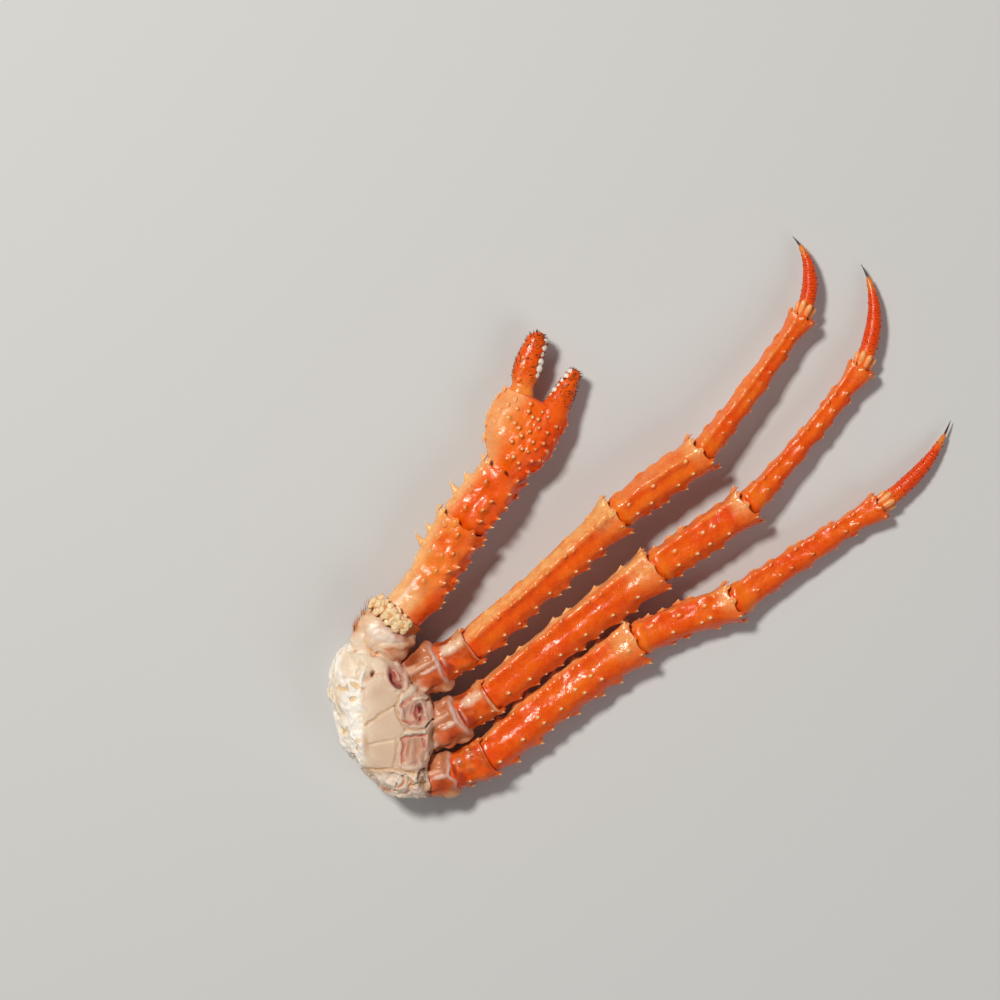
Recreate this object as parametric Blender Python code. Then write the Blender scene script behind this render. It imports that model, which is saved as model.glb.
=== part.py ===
"""King crab leg cluster: three walking legs and one claw arm still joined to their shoulder section.

Every shell segment is a closed loft along its own axis. A segment ends in a cup whose rim carries the
collar spines, and the next segment's neck sits in that cup with a thin gap round it, as the real joints
do. The legs lie on the table beside the shoulder, fanned out and bent at their joints.
Lengths are in millimetres and angles in degrees until a mesh is made.
"""
import math
import random

import bmesh
import bpy
from mathutils import Matrix, Vector

# ---------------------------------------------------------------- driving dimensions
MILLIMETRE = 0.001
SEED = 7
CENTRE_SHIFT = Vector((-0.9, -0.2, 0.0))    # puts the middle of the cluster's box over the origin
TOUCHING_GAP = 0.3      # left between two pieces that rest against each other
CUP_DEPTH = 3.6         # how far a neck sits in the cup before it
CUP_WALL = 1.4          # shell thickness shown at a cup's rim
CUP_TAPER = 0.3         # how much narrower each side of a cup is at its bottom
NECK_STEP = 0.3         # how far a shell draws in where its neck starts
NECK_TAPER = 0.8        # how far the neck's end draws in
RING_SPACING = 10.0     # distance between the rings of a leg segment
MITRE_LENGTH = 9.0      # stretch over which a ring turns into the plane of its joint
SPINE_LEAN = 0.55       # how far a spine's tip leans towards the leg's tip, per unit of height
FOOT_INSET = 0.24       # width of the margin round a spine's foot, in shortest edges of its face
FOOT_SLIDE = 0.20       # how far that foot may move across its face, in the same measure
ANGLE_SCATTER = 5.0     # how far a spine strays from its row's angle, either way
HEIGHT_SCATTER = 0.15   # share by which its height varies, either way
SECTION_POWER = 2.35    # squareness of a segment's section: 2 is an ellipse
CREST_HEIGHT = 0.05     # share by which the keel along a leg stands out
CREST_SPREAD = 22.0     # angle over which the keel fades
SHARP_ANGLE = 40.0      # edges sharper than this stay sharp when the shell is shaded smooth
SHELL_ROUGHNESS = 0.4

SHELL_SIDES = 14
SLIM_SIDES = 12
TALON_SIDES = 10
TALON_STEPS = 12
TALON_BEND_POWER = 1.35     # above 1, a talon bends more towards its tip
TALON_DROP_POWER = 1.4      # above 1, it also comes down more towards its tip
TALON_LOBES = (0.0, 72.0, 108.0, 180.0, 288.0)  # angles of the lobes round a talon's base
LOBE_HEIGHT = 1.9
LOBE_LEAN = 3.4
TALON_NECK_SHARE = 0.92     # width of a talon's neck against its base
TALON_TAPER = 0.12          # share of its width a talon loses steadily from base to tip
TALON_POINT_START = 0.30    # where along it the drawing out to a point begins
TALON_POINT_POWER = 1.55
TALON_TIP_SHARE = 0.05      # width left at the very tip

# Each walking leg hangs from its coxa, given by its inner end and widths, and is laid out from the
# root where the coxa ends: segment, length, heading, height of its far joint, widths at the start, in
# the middle, near the end and at the rim, and how far its middle bows to the left.
WALKING_LEGS = {
    "leg_1": {
        "coxa": ((-137.0, -97.0, 19.0), (24.0, 28.0, 31.0, 33.0)),
        "root": (-120.0, -88.0, 19.0),
        "crest": 72.0,
        "segments": [
            ("basis", 21.5, 29.4, 21.0, (26.4, 21.4, 23.0, 25.4), 0.0),
            ("merus", 116.5, 42.1, 24.0, (20.6, 18.6, 21.0, 25.5), -0.4),
            ("carpus", 62.8, 35.7, 21.0, (18.6, 20.4, 21.0, 23.5), 1.2),
            ("propodus", 102.5, 53.3, 13.0, (15.0, 13.0, 11.8, 15.2), -1.2),
        ],
        "talon": {"length": 53.5, "headings": (66.0, 134.0), "tip_height": 6.0, "width": 10.0},
    },
    "leg_2": {
        "coxa": ((-131.0, -131.5, 18.6), (23.0, 26.0, 28.0, 30.0)),
        "root": (-108.6, -119.6, 19.0),
        "crest": 44.0,
        "segments": [
            ("basis", 21.8, 32.5, 19.6, (24.4, 20.6, 22.0, 24.4), 0.0),
            ("merus", 124.5, 37.6, 18.6, (20.8, 21.6, 23.0, 26.5), 1.5),
            ("carpus", 66.6, 34.0, 16.0, (19.0, 20.6, 21.0, 23.5), 0.6),
            ("propodus", 108.6, 50.2, 10.0, (15.0, 11.6, 11.6, 15.4), -1.5),
        ],
        "talon": {"length": 66.5, "headings": (65.0, 121.0), "tip_height": 4.5, "width": 10.4},
    },
    "leg_3": {
        "coxa": ((-135.0, -157.6, 17.2), (21.0, 24.0, 26.0, 27.4)),
        "root": (-113.4, -153.2, 16.4),
        "crest": 38.0,
        "segments": [
            ("basis", 23.4, 22.4, 14.8, (23.6, 23.0, 24.6, 26.4), 0.0),
            ("merus", 112.6, 37.6, 12.4, (22.6, 24.2, 24.2, 27.0), 1.9),
            ("carpus", 62.7, 21.9, 11.6, (19.0, 19.6, 20.6, 24.0), 2.2),
            ("propodus", 105.7, 33.4, 8.4, (18.0, 15.0, 12.4, 16.4), 0.8),
        ],
        "talon": {"length": 69.8, "headings": (35.0, 69.0), "tip_height": 3.5, "width": 10.0},
    },
}

# The claw arm: the joints between its segments, then each segment's widths as above, its thickness
# against its width, and its bow.
CLAW_JOINTS = [
    (-160.5, -84.0, 20.5),
    (-149.0, -64.5, 21.5),
    (-142.6, -57.8, 21.5),
    (-108.4, -5.7, 19.0),
    (-82.5, 25.2, 17.0),
    (-61.0, 68.0, 14.5),
]
CLAW_SEGMENTS = [
    ("coxa", (30.0, 35.0, 34.5, 33.5), 0.84, 0.0),
    ("ischium", (27.0, 30.5, 30.5, 31.0), 0.84, 0.0),
    ("merus", (26.0, 24.8, 28.6, 31.6), 0.90, -2.2),
    ("carpus", (24.0, 28.0, 28.5, 27.5), 0.88, 0.0),
    ("palm", (22.0, 39.0, 41.0, 40.0), 0.64, 0.0),
]
PALM_SIDES = 16
PALM_STEPS = 7
FIXED_FINGER = {
    "side": -10.6,          # from the palm's axis to the left, so it stands to the right
    "reach": 29.0,
    "width": 15.6,
    "tip_width": 6.4,
    "flatness": 0.9,
    "veer": -1.0,
}
FIXED_FINGER_STEPS = 5
FIXED_FINGER_TAPER_POWER = 1.6
FIXED_FINGER_END_SHARE = 0.45   # how far the last ring of the finger closes in
MOVABLE_FINGER = {
    "side": 11.4,           # from the palm's axis to the left
    "heading": 73.0,
    "length": 38.5,
    "widths": (15.4, 15.6, 12.6, 7.0),
    "flatness": 0.84,
}
MOVABLE_FINGER_STEPS = 6
FINGERTIP_SHRINK = 2.0  # how much the movable finger's rounded end closes in
FINGERTIP_REACH = 1.6
TOOTH_COUNT = 4
TOOTH_HEIGHT = 1.3
FIXED_TEETH_SPAN = (0.25, 0.85)     # first and last tooth along each finger
MOVABLE_TEETH_SPAN = (0.35, 0.85)
KNUCKLE_PLACES = (0.25, 0.50, 0.75)  # spines along the movable finger's outer edge
KNUCKLE_HEIGHT = 1.6

# Thickness of each kind of segment against its width.
FLATNESS = {"coxa": 0.96, "basis": 0.94, "merus": 0.88, "carpus": 0.92, "propodus": 0.95, "dactyl": 1.0}

# Rows of spines on each kind of segment: how many, first and last place along it (0 to 1), angle
# round the section (0 is the left silhouette, 90 the top, 180 the right), height, and whether the
# spine stands on an inset foot of its own (True) or is a low tubercle (False).
SPINE_ROWS = {
    "coxa": [],
    "basis": [
        (1, 0.60, 0.60, 172.0, 2.0, True),
        (1, 0.62, 0.62, 136.0, 1.4, False),
    ],
    "merus": [
        (5, 0.22, 0.88, 4.0, 2.2, True),
        (7, 0.14, 0.86, 178.0, 3.2, True),
        (8, 0.08, 0.93, 134.0, 1.3, False),
        (4, 0.20, 0.80, 245.0, 1.5, False),
    ],
    "carpus": [
        (4, 0.16, 0.80, 4.0, 2.8, True),
        (4, 0.22, 0.80, 178.0, 2.8, True),
        (4, 0.15, 0.85, 130.0, 1.2, False),
        (2, 0.30, 0.70, 245.0, 1.2, False),
    ],
    "propodus": [
        (6, 0.10, 0.86, 8.0, 2.3, True),
        (6, 0.13, 0.82, 176.0, 2.4, True),
        (5, 0.12, 0.80, 112.0, 1.1, False),
    ],
    "claw_ischium": [
        (4, 0.50, 0.50, 150.0, 1.8, False),
    ],
    "claw_merus": [
        (1, 0.68, 0.68, 12.0, 8.0, True),
        (1, 0.83, 0.83, 12.0, 5.7, True),
        (2, 0.45, 0.60, 8.0, 1.8, False),
        (6, 0.05, 0.90, 176.0, 3.0, True),
        (4, 0.15, 0.85, 138.0, 2.8, True),
        (3, 0.55, 0.90, 92.0, 2.0, False),
        (3, 0.30, 0.80, 250.0, 1.6, False),
    ],
    "claw_carpus": [
        (1, 0.17, 0.17, 8.0, 2.4, True),
        (1, 0.38, 0.38, 8.0, 6.7, True),
        (1, 0.64, 0.64, 8.0, 4.5, True),
        (3, 0.20, 0.80, 60.0, 2.2, True),
        (4, 0.15, 0.85, 120.0, 2.2, False),
        (3, 0.20, 0.85, 172.0, 2.4, True),
        (2, 0.30, 0.70, 250.0, 1.6, False),
    ],
    "claw_palm": [
        (5, 0.18, 0.80, 4.0, 2.6, True),
        (7, 0.10, 0.95, 176.0, 2.0, True),
        (5, 0.14, 0.88, 128.0, 1.8, False),
        (5, 0.16, 0.84, 98.0, 1.8, False),
        (3, 0.25, 0.70, 55.0, 1.4, False),
        (3, 0.30, 0.80, 250.0, 1.2, False),
    ],
}
COLLAR_ANGLES = (-8.0, 34.0, 78.0, 150.0, 186.0)   # collar spines round a rim
COLLAR_HEIGHTS = (3.4, 2.2, 1.2, 2.6, 3.8)
COLLAR_SCALE = {
    "coxa": 0.0, "basis": 0.55, "merus": 1.0, "carpus": 1.0, "propodus": 0.6,
    "claw_ischium": 0.0, "claw_merus": 0.7, "claw_carpus": 0.6, "claw_palm": 0.0,
}
COLLAR_FLARE = 1.7      # extra lean of the collar spines, which point along the leg
STRAIGHT = Vector((0.0, 0.0, 0.0))  # no lean at all, for the fingers' teeth

# The shoulder: its outline seen from above, from the claw arm round by the cut body side to leg 3.
SHOULDER_OUTLINE = [
    (-146.0, -84.0), (-163.0, -75.5), (-177.0, -77.0), (-184.5, -89.0),
    (-186.5, -104.0), (-183.0, -117.0), (-180.0, -134.0), (-170.0, -147.5),
    (-157.5, -160.5), (-147.0, -168.0), (-134.5, -168.6), (-125.0, -165.0),
    (-128.0, -148.0), (-124.0, -134.0), (-126.0, -116.0), (-134.0, -100.0),
]
# Its levels from the table up: height, and how much of the outline is left there.
SHOULDER_LEVELS = [
    (0.0, 0.80), (2.0, 0.90), (9.0, 0.98), (20.0, 1.00),
    (30.0, 0.95), (36.5, 0.84), (40.0, 0.64), (41.6, 0.36),
]
SHOULDER_SIDES = 32
SHOULDER_MIDDLE = (-154.0, -121.0)
LUMP_DEPTH = 1.5        # unevenness of the cut meat along the body side
LUMP_START = 5.0        # height above which that side is lumpy
MEAT_SIDE = 8.0         # how far from the middle, towards the cut, the meat starts
MEAT_BLEND = 20.0       # distance over which it takes over from the plates
SOCKET_REACH = 12.0     # how far a coxa's socket runs on outside the shoulder
# Windows in the top where the plates are open: centre, half length, half width, heading, depth.
WINDOW_TOP = 41.0
WINDOW_SIDES = 10
WINDOW_FUNNEL = [(1.0, 0.55), (0.6, 0.85)]  # share of the depth below the top, and of the size there
WINDOW_MOUTH = (3.0, 1.1)                   # height above the top, and share of the size there
SHOULDER_WINDOWS = [
    ((-145.6, -95.4), 6.4, 3.2, 122.0, 7.0),
    ((-134.6, -112.4), 7.2, 4.6, 104.0, 7.0),
    ((-135.4, -139.2), 7.8, 5.2, 92.0, 6.0),
]

COLOURS = {
    "shell": (0.72, 0.085, 0.012),
    "talon": (0.62, 0.05, 0.010),
    "claw": (0.76, 0.15, 0.030),
    "coxa": (0.72, 0.42, 0.26),
    "shoulder": (0.72, 0.52, 0.36),
}


# ---------------------------------------------------------------- directions and sections
def heading_vector(heading):
    """Level unit vector at that heading from +X towards +Y."""
    h = math.radians(heading)
    return Vector((math.cos(h), math.sin(h), 0.0))


def side_and_up(forward):
    """The axes of a section whose plane faces forward: to the left of travel, and upward."""
    side = Vector((0, 0, 1)).cross(forward).normalized()
    return side, forward.cross(side).normalized()


def superellipse(angle, half_width, half_height):
    """Radius at that angle of a rounded box of those half sizes."""
    c, s = abs(math.cos(angle)) / half_width, abs(math.sin(angle)) / half_height
    return (c ** SECTION_POWER + s ** SECTION_POWER) ** (-1.0 / SECTION_POWER)


def section_point(centre, forward, angle, half_width, half_height, crest=None):
    """A point of a segment's section. A crest angle, in degrees, raises a soft keel there."""
    side, up = side_and_up(forward)
    a = math.radians(angle)
    radius = superellipse(a, half_width, half_height)
    if crest is not None:
        away = (angle - crest + 180.0) % 360.0 - 180.0
        radius *= 1.0 + CREST_HEIGHT * math.exp(-(away / CREST_SPREAD) ** 2)
    return centre + side * (radius * math.cos(a)) + up * (radius * math.sin(a))


def ring(centre, forward, half_width, half_height, sides, crest=None):
    return [
        section_point(centre, forward, 360.0 * k / sides, half_width, half_height, crest)
        for k in range(sides)
    ]


def smooth(x):
    x = min(max(x, 0.0), 1.0)
    return x * x * (3.0 - 2.0 * x)


def along(values, t):
    """Value at t, from 0 to 1, of a smooth line through values at 0, 0.45, 0.85 and 1."""
    stops = (0.0, 0.45, 0.85, 1.0)
    for i in range(3):
        if t <= stops[i + 1]:
            share = (t - stops[i]) / (stops[i + 1] - stops[i])
            return values[i] + (values[i + 1] - values[i]) * smooth(share)
    return values[3]


# ---------------------------------------------------------------- meshes
def loft(rings):
    """A closed body through rings of equal length, and its side faces, on which spines can stand."""
    bm = bmesh.new()
    rows = [[bm.verts.new(p) for p in points] for points in rings]
    count = len(rows[0])
    sides = []
    for low, high in zip(rows, rows[1:]):
        for k in range(count):
            n = (k + 1) % count
            sides.append(bm.faces.new((low[k], low[n], high[n], high[k])))
    bm.faces.new(list(reversed(rows[0])))
    bm.faces.new(rows[-1])
    return bm, sides


def raise_spine(bm, sides, foot, outward, height, forward, own_foot):
    """Lifts the side face nearest to foot into a spine whose tip leans forward."""
    face = min(sides, key=lambda f: (f.calc_center_median() - foot).length_squared)
    sides.remove(face)
    if own_foot:
        room = min(e.calc_length() for e in face.edges)
        bmesh.ops.inset_individual(bm, faces=[face], thickness=FOOT_INSET * room, use_even_offset=True)
        slide = foot - face.calc_center_median()
        slide -= outward * slide.dot(outward)
        limit = FOOT_SLIDE * room
        if slide.length > limit:
            slide = slide * (limit / slide.length)
        for v in face.verts:
            v.co += slide
    tip = face.calc_center_median() + outward * height + forward * (height * SPINE_LEAN)
    apex = bmesh.ops.poke(bm, faces=[face])["verts"][0]
    apex.co = tip


def finish(bm, name, matrix, colour, collection):
    """Turns a body in cluster millimetres into a named object placed by its matrix, in metres."""
    mesh = bpy.data.meshes.new(name)
    bm.to_mesh(mesh)
    bm.free()
    mesh.transform(matrix.inverted())
    mesh.transform(Matrix.Scale(MILLIMETRE, 4))
    mesh.shade_smooth()
    mesh.set_sharp_from_angle(angle=math.radians(SHARP_ANGLE))
    place = matrix.copy()
    place.translation = matrix.translation * MILLIMETRE
    piece = bpy.data.objects.new(name, mesh)
    piece.parent = bpy.data.objects["cluster"]
    piece.matrix_local = place
    material = bpy.data.materials.new(name)
    material.use_nodes = True
    surface = material.node_tree.nodes["Principled BSDF"]
    surface.inputs["Base Color"].default_value = (*COLOURS[colour], 1.0)
    surface.inputs["Roughness"].default_value = SHELL_ROUGHNESS
    surface.inputs["Metallic"].default_value = 0.0
    mesh.materials.append(material)
    collection.objects.link(piece)
    return piece


def frame_at(point, forward):
    """Local axes at a joint: X along the segment, Y to its left, Z up."""
    side, up = side_and_up(forward)
    matrix = Matrix((forward, side, up)).transposed().to_4x4()
    matrix.translation = point
    return matrix


# ---------------------------------------------------------------- jointed segments
class Segment:
    """One tubular shell segment between two joints."""

    def __init__(
        self, start, end, widths, flatness, bow=0.0, before=None, after=None, sides=SHELL_SIDES, crest=None
    ):
        """before and after are the neighbours' directions, which set the planes of the two ends."""
        self.start, self.end = start, end
        self.length = (end - start).length
        self.forward = (end - start).normalized()
        self.widths, self.flatness, self.bow = widths, flatness, bow
        self.first_plane = ((before or self.forward) + self.forward).normalized()
        self.last_plane = ((after or self.forward) + self.forward).normalized()
        self.sides, self.crest = sides, crest

    def halves(self, t):
        half_width = 0.5 * along(self.widths, t)
        return half_width, half_width * self.flatness

    def centre(self, t):
        side, _ = side_and_up(self.forward)
        return self.start + self.forward * (self.length * t) + side * (self.bow * 4.0 * t * (1.0 - t))

    def facing(self, t):
        """The direction a ring faces: the joint's own plane at either end, the axis in between."""
        s = self.length * t
        first = 1.0 - smooth(s / MITRE_LENGTH)
        last = 1.0 - smooth((self.length - s) / MITRE_LENGTH)
        middle = max(0.0, 1.0 - first - last)
        return (self.first_plane * first + self.last_plane * last + self.forward * middle).normalized()

    def ring(self, t, shrink=0.0, shift=0.0):
        half_width, half_height = self.halves(t)
        facing = self.facing(t)
        centre = self.centre(t) + facing * shift
        return ring(centre, facing, half_width - shrink, half_height - shrink, self.sides, self.crest)

    def neck(self):
        """Rings of the neck that sits in the cup before this segment."""
        return [
            self.ring(0.0, shrink=NECK_TAPER, shift=TOUCHING_GAP - CUP_DEPTH),
            self.ring(0.0, shrink=NECK_STEP),
        ]

    def body(self, neck=True):
        """Rings from the bottom of the neck, along the shell, over the rim and down into the cup."""
        steps = max(2, round(self.length / RING_SPACING))
        rings = self.neck() if neck else [self.ring(0.0)]
        rings += [self.ring(i / steps) for i in range(1, steps + 1)]
        rings.append(self.ring(1.0, shrink=CUP_WALL))
        rings.append(self.ring(1.0, shrink=CUP_WALL + CUP_TAPER, shift=-CUP_DEPTH))
        return loft(rings)

    def surface(self, t, angle):
        """A point of the shell and the direction straight out of it."""
        half_width, half_height = self.halves(t)
        centre, facing = self.centre(t), self.facing(t)
        point = section_point(centre, facing, angle, half_width, half_height, self.crest)
        return point, (point - centre).normalized()

    def add_spines(self, bm, sides, rows, rng, collar_scale):
        for count, first, last, angle, height, own_foot in rows:
            for i in range(count):
                t = first if count == 1 else first + (last - first) * i / (count - 1)
                foot, outward = self.surface(t, angle + rng.uniform(-ANGLE_SCATTER, ANGLE_SCATTER))
                tall = height * rng.uniform(1.0 - HEIGHT_SCATTER, 1.0 + HEIGHT_SCATTER)
                raise_spine(bm, sides, foot, outward, tall, self.forward, own_foot)
        if not collar_scale:
            return
        rim = 1.0 - 0.5 * RING_SPACING / self.length
        for angle, height in zip(COLLAR_ANGLES, COLLAR_HEIGHTS):
            foot, outward = self.surface(rim, angle)
            lean = self.forward * COLLAR_FLARE
            raise_spine(bm, sides, foot, outward, height * collar_scale, lean, True)


def joint_points(leg):
    """Joint positions along a walking leg, from its root to the end of its propodus."""
    points = [Vector(leg["root"])]
    for _, length, heading, far_height, _, _ in leg["segments"]:
        rise = far_height - points[-1].z
        reach = math.sqrt(length * length - rise * rise)
        points.append(points[-1] + heading_vector(heading) * reach + Vector((0, 0, rise)))
    return points


def build_segment(name, kind, segment, collection, rng, colour):
    """A segment with its spines. A coxa has no neck: it stands in its socket of the shoulder."""
    bm, shell = segment.body(neck=kind != "coxa")
    segment.add_spines(bm, shell, SPINE_ROWS[kind], rng, COLLAR_SCALE[kind])
    finish(bm, name, frame_at(segment.start, segment.forward), colour, collection)


def walking_segments(leg):
    """The jointed segments of a walking leg, coxa first, as (kind, segment)."""
    points = [Vector(leg["coxa"][0])] + joint_points(leg)
    forwards = [(b - a).normalized() for a, b in zip(points, points[1:])]
    forwards = [forwards[0]] + forwards + [heading_vector(leg["talon"]["headings"][0])]
    shapes = [("coxa", leg["coxa"][1], 0.0)]
    shapes += [(kind, widths, bow) for kind, _, _, _, widths, bow in leg["segments"]]
    for i, (kind, widths, bow) in enumerate(shapes):
        sides = SLIM_SIDES if kind == "propodus" else SHELL_SIDES
        crest = leg["crest"] if kind in ("merus", "carpus", "propodus") else None
        ends = (points[i], points[i + 1])
        yield kind, Segment(*ends, widths, FLATNESS[kind], bow, forwards[i], forwards[i + 2], sides, crest)


def build_walking_leg(name, leg, collection, rng):
    for kind, segment in walking_segments(leg):
        colour = "coxa" if kind == "coxa" else "shell"
        build_segment(f"{name}_{kind}", kind, segment, collection, rng, colour)
    build_talon(f"{name}_dactyl", leg["talon"], segment.end, segment.forward, collection)


def talon_path(talon, start, steps):
    """Centres and directions from a talon's base to its tip. It bends inward, mostly past its middle."""
    first, last = talon["headings"]
    line = []
    centre = start.copy()
    for i in range(steps + 1):
        t = i / steps
        forward = heading_vector(first + (last - first) * t ** TALON_BEND_POWER)
        centre.z = start.z + (talon["tip_height"] - start.z) * t ** TALON_DROP_POWER
        line.append((centre.copy(), forward))
        middle = heading_vector(first + (last - first) * (t + 0.5 / steps) ** TALON_BEND_POWER)
        centre += middle * (talon["length"] / steps)
    return line


def talon_half(talon, t):
    """Half width at t: nearly parallel near the base, then drawn out to a horny point."""
    drawn = max(0.0, (t - TALON_POINT_START) / (1.0 - TALON_POINT_START)) ** TALON_POINT_POWER
    return 0.5 * talon["width"] * (1.0 - TALON_TAPER * t) * max(TALON_TIP_SHARE, 1.0 - drawn)


def build_talon(name, talon, start, before, collection):
    """A curved talon whose base wears blunt finger-like lobes."""
    joint_plane = (before + heading_vector(talon["headings"][0])).normalized()
    base = 0.5 * talon["width"]
    neck = base * TALON_NECK_SHARE
    rings = [ring(start + joint_plane * (TOUCHING_GAP - CUP_DEPTH), joint_plane, neck, neck, TALON_SIDES)]
    line = talon_path(talon, start, TALON_STEPS)
    for i, (centre, forward) in enumerate(line):
        half = talon_half(talon, i / TALON_STEPS)
        rings.append(ring(centre, joint_plane if i == 0 else forward, half, half, TALON_SIDES))
    bm, sides = loft(rings)
    centre, forward = line[1]
    side, up = side_and_up(forward)
    for angle in TALON_LOBES:
        outward = side * math.cos(math.radians(angle)) + up * math.sin(math.radians(angle))
        raise_spine(bm, sides, centre + outward * base, outward, LOBE_HEIGHT, forward * LOBE_LEAN, True)
    finish(bm, name, frame_at(start, heading_vector(talon["headings"][0])), "talon", collection)


# ---------------------------------------------------------------- claw arm
def claw_segments():
    """The jointed segments of the claw arm, coxa first, as (kind, segment)."""
    points = [Vector(p) for p in CLAW_JOINTS]
    forwards = [(b - a).normalized() for a, b in zip(points, points[1:])]
    forwards = [forwards[0]] + forwards + [forwards[-1]]
    for i, (kind, widths, flatness, bow) in enumerate(CLAW_SEGMENTS):
        sides = PALM_SIDES if kind == "palm" else SHELL_SIDES
        ends = (points[i], points[i + 1])
        yield kind, Segment(*ends, widths, flatness, bow, forwards[i], forwards[i + 2], sides)


def tooth_places(span):
    """Where along a finger its teeth stand."""
    return [span[0] + (span[1] - span[0]) * i / (TOOTH_COUNT - 1) for i in range(TOOTH_COUNT)]


def build_palm(segment, collection, rng):
    """The hand: a swollen palm that runs on into the fixed finger, with a flat shelf beside it."""
    rings = segment.neck()
    rings += [segment.ring(i / PALM_STEPS) for i in range(1, PALM_STEPS + 1)]
    side, _ = side_and_up(segment.forward)
    width, tip_width = FIXED_FINGER["width"], FIXED_FINGER["tip_width"]
    for i in range(FIXED_FINGER_STEPS + 1):
        t = i / FIXED_FINGER_STEPS
        half = 0.5 * (width + (tip_width - width) * t ** FIXED_FINGER_TAPER_POWER)
        if i == FIXED_FINGER_STEPS:
            half *= FIXED_FINGER_END_SHARE
        centre = segment.end + side * (FIXED_FINGER["side"] + FIXED_FINGER["veer"] * t)
        centre += segment.forward * (FIXED_FINGER["reach"] * t)
        rings.append(ring(centre, segment.forward, half, half * FIXED_FINGER["flatness"], PALM_SIDES))
    bm, shell = loft(rings)
    segment.add_spines(bm, shell, SPINE_ROWS["claw_palm"], rng, COLLAR_SCALE["claw_palm"])
    for t in tooth_places(FIXED_TEETH_SPAN):
        reach = segment.forward * (FIXED_FINGER["reach"] * t)
        foot = segment.end + reach + side * (FIXED_FINGER["side"] + 0.5 * width)
        raise_spine(bm, shell, foot, side, TOOTH_HEIGHT, STRAIGHT, True)
    finish(bm, "claw_palm", frame_at(segment.start, segment.forward), "claw", collection)


def build_movable_finger(palm, collection):
    """The stout upper finger, which stands on the palm's shelf and closes against the fixed one."""
    side, _ = side_and_up(palm.forward)
    forward = heading_vector(MOVABLE_FINGER["heading"])
    base = palm.end + side * MOVABLE_FINGER["side"] + palm.forward * TOUCHING_GAP
    finger = Segment(
        base, base + forward * MOVABLE_FINGER["length"], MOVABLE_FINGER["widths"],
        MOVABLE_FINGER["flatness"], before=palm.forward * 2.0 - forward, sides=SLIM_SIDES,
    )
    rings = [finger.ring(i / MOVABLE_FINGER_STEPS) for i in range(MOVABLE_FINGER_STEPS + 1)]
    rings.append(finger.ring(1.0, shrink=FINGERTIP_SHRINK, shift=FINGERTIP_REACH))
    bm, shell = loft(rings)
    for t in tooth_places(MOVABLE_TEETH_SPAN):
        foot, outward = finger.surface(t, 180.0)
        raise_spine(bm, shell, foot, outward, TOOTH_HEIGHT, STRAIGHT, True)
    for t in KNUCKLE_PLACES:
        foot, outward = finger.surface(t, 4.0)
        raise_spine(bm, shell, foot, outward, KNUCKLE_HEIGHT, forward, True)
    finish(bm, "claw_finger", frame_at(base, forward), "claw", collection)


def build_claw_arm(collection, rng):
    for kind, segment in claw_segments():
        if kind == "palm":
            build_palm(segment, collection, rng)
            build_movable_finger(segment, collection)
            continue
        row = kind if kind == "coxa" else f"claw_{kind}"
        colour = "claw" if kind in ("merus", "carpus") else "coxa"
        build_segment(f"claw_{kind}", row, segment, collection, rng, colour)


# ---------------------------------------------------------------- shoulder
def closed_curve(points, count):
    """Points spaced evenly by parameter on the smooth closed curve through the given ones."""
    result = []
    for k in range(count):
        u = k * len(points) / count
        i, f = int(u), u - int(u)
        a, b, c, d = (Vector(points[(i + j - 1) % len(points)]) for j in range(4))
        square = (2 * a - 5 * b + 4 * c - d) * f ** 2
        cube = (3 * b - a - 3 * c + d) * f ** 3
        result.append(0.5 * (2 * b + (c - a) * f + square + cube))
    return result


def build_shoulder(collection, rng):
    """The body section: a low mound of plates over meat, lumpy along the side where it was cut."""
    middle = Vector(SHOULDER_MIDDLE)
    outline = closed_curve(SHOULDER_OUTLINE, SHOULDER_SIDES)
    rings = []
    for height, share in SHOULDER_LEVELS:
        points = []
        for p in outline:
            away = p - middle
            meat = smooth((-away.x - MEAT_SIDE) / MEAT_BLEND) if height > LUMP_START else 0.0
            lump = 1.0 + meat * rng.uniform(-LUMP_DEPTH, LUMP_DEPTH) / away.length
            points.append(Vector((*(middle + away * (share * lump)), height)))
        rings.append(points)
    bm, _ = loft(rings)
    place = Matrix.Translation((*SHOULDER_MIDDLE, 0.0))
    return finish(bm, "shoulder", place, "shoulder", collection)


def make_cutter(name, bm, cutters):
    """A hidden wire object, in the cluster's own frame, that is taken out of a piece."""
    mesh = bpy.data.meshes.new(name)
    bm.to_mesh(mesh)
    bm.free()
    mesh.transform(Matrix.Scale(MILLIMETRE, 4))
    cutter = bpy.data.objects.new(name, mesh)
    cutter.parent = bpy.data.objects["cluster"]
    cutter.hide_render = True
    cutter.display_type = "WIRE"
    cutters.objects.link(cutter)
    return cutter


def cut(piece, cutter):
    modifier = piece.modifiers.new(cutter.name, "BOOLEAN")
    modifier.operation = "DIFFERENCE"
    modifier.solver = "EXACT"
    modifier.object = cutter


def socket_cutter(name, segment, cutters):
    """The room a coxa needs in the shoulder: its own outer form, a touching gap larger all round."""
    rings = [segment.ring(0.0, shrink=-TOUCHING_GAP, shift=-TOUCHING_GAP)]
    rings += [segment.ring(t, shrink=-TOUCHING_GAP) for t in (0.5, 1.0)]
    rings.append(segment.ring(1.0, shrink=-TOUCHING_GAP, shift=SOCKET_REACH))
    bm, _ = loft(rings)
    return make_cutter(f"{name}_socket", bm, cutters)


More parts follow.
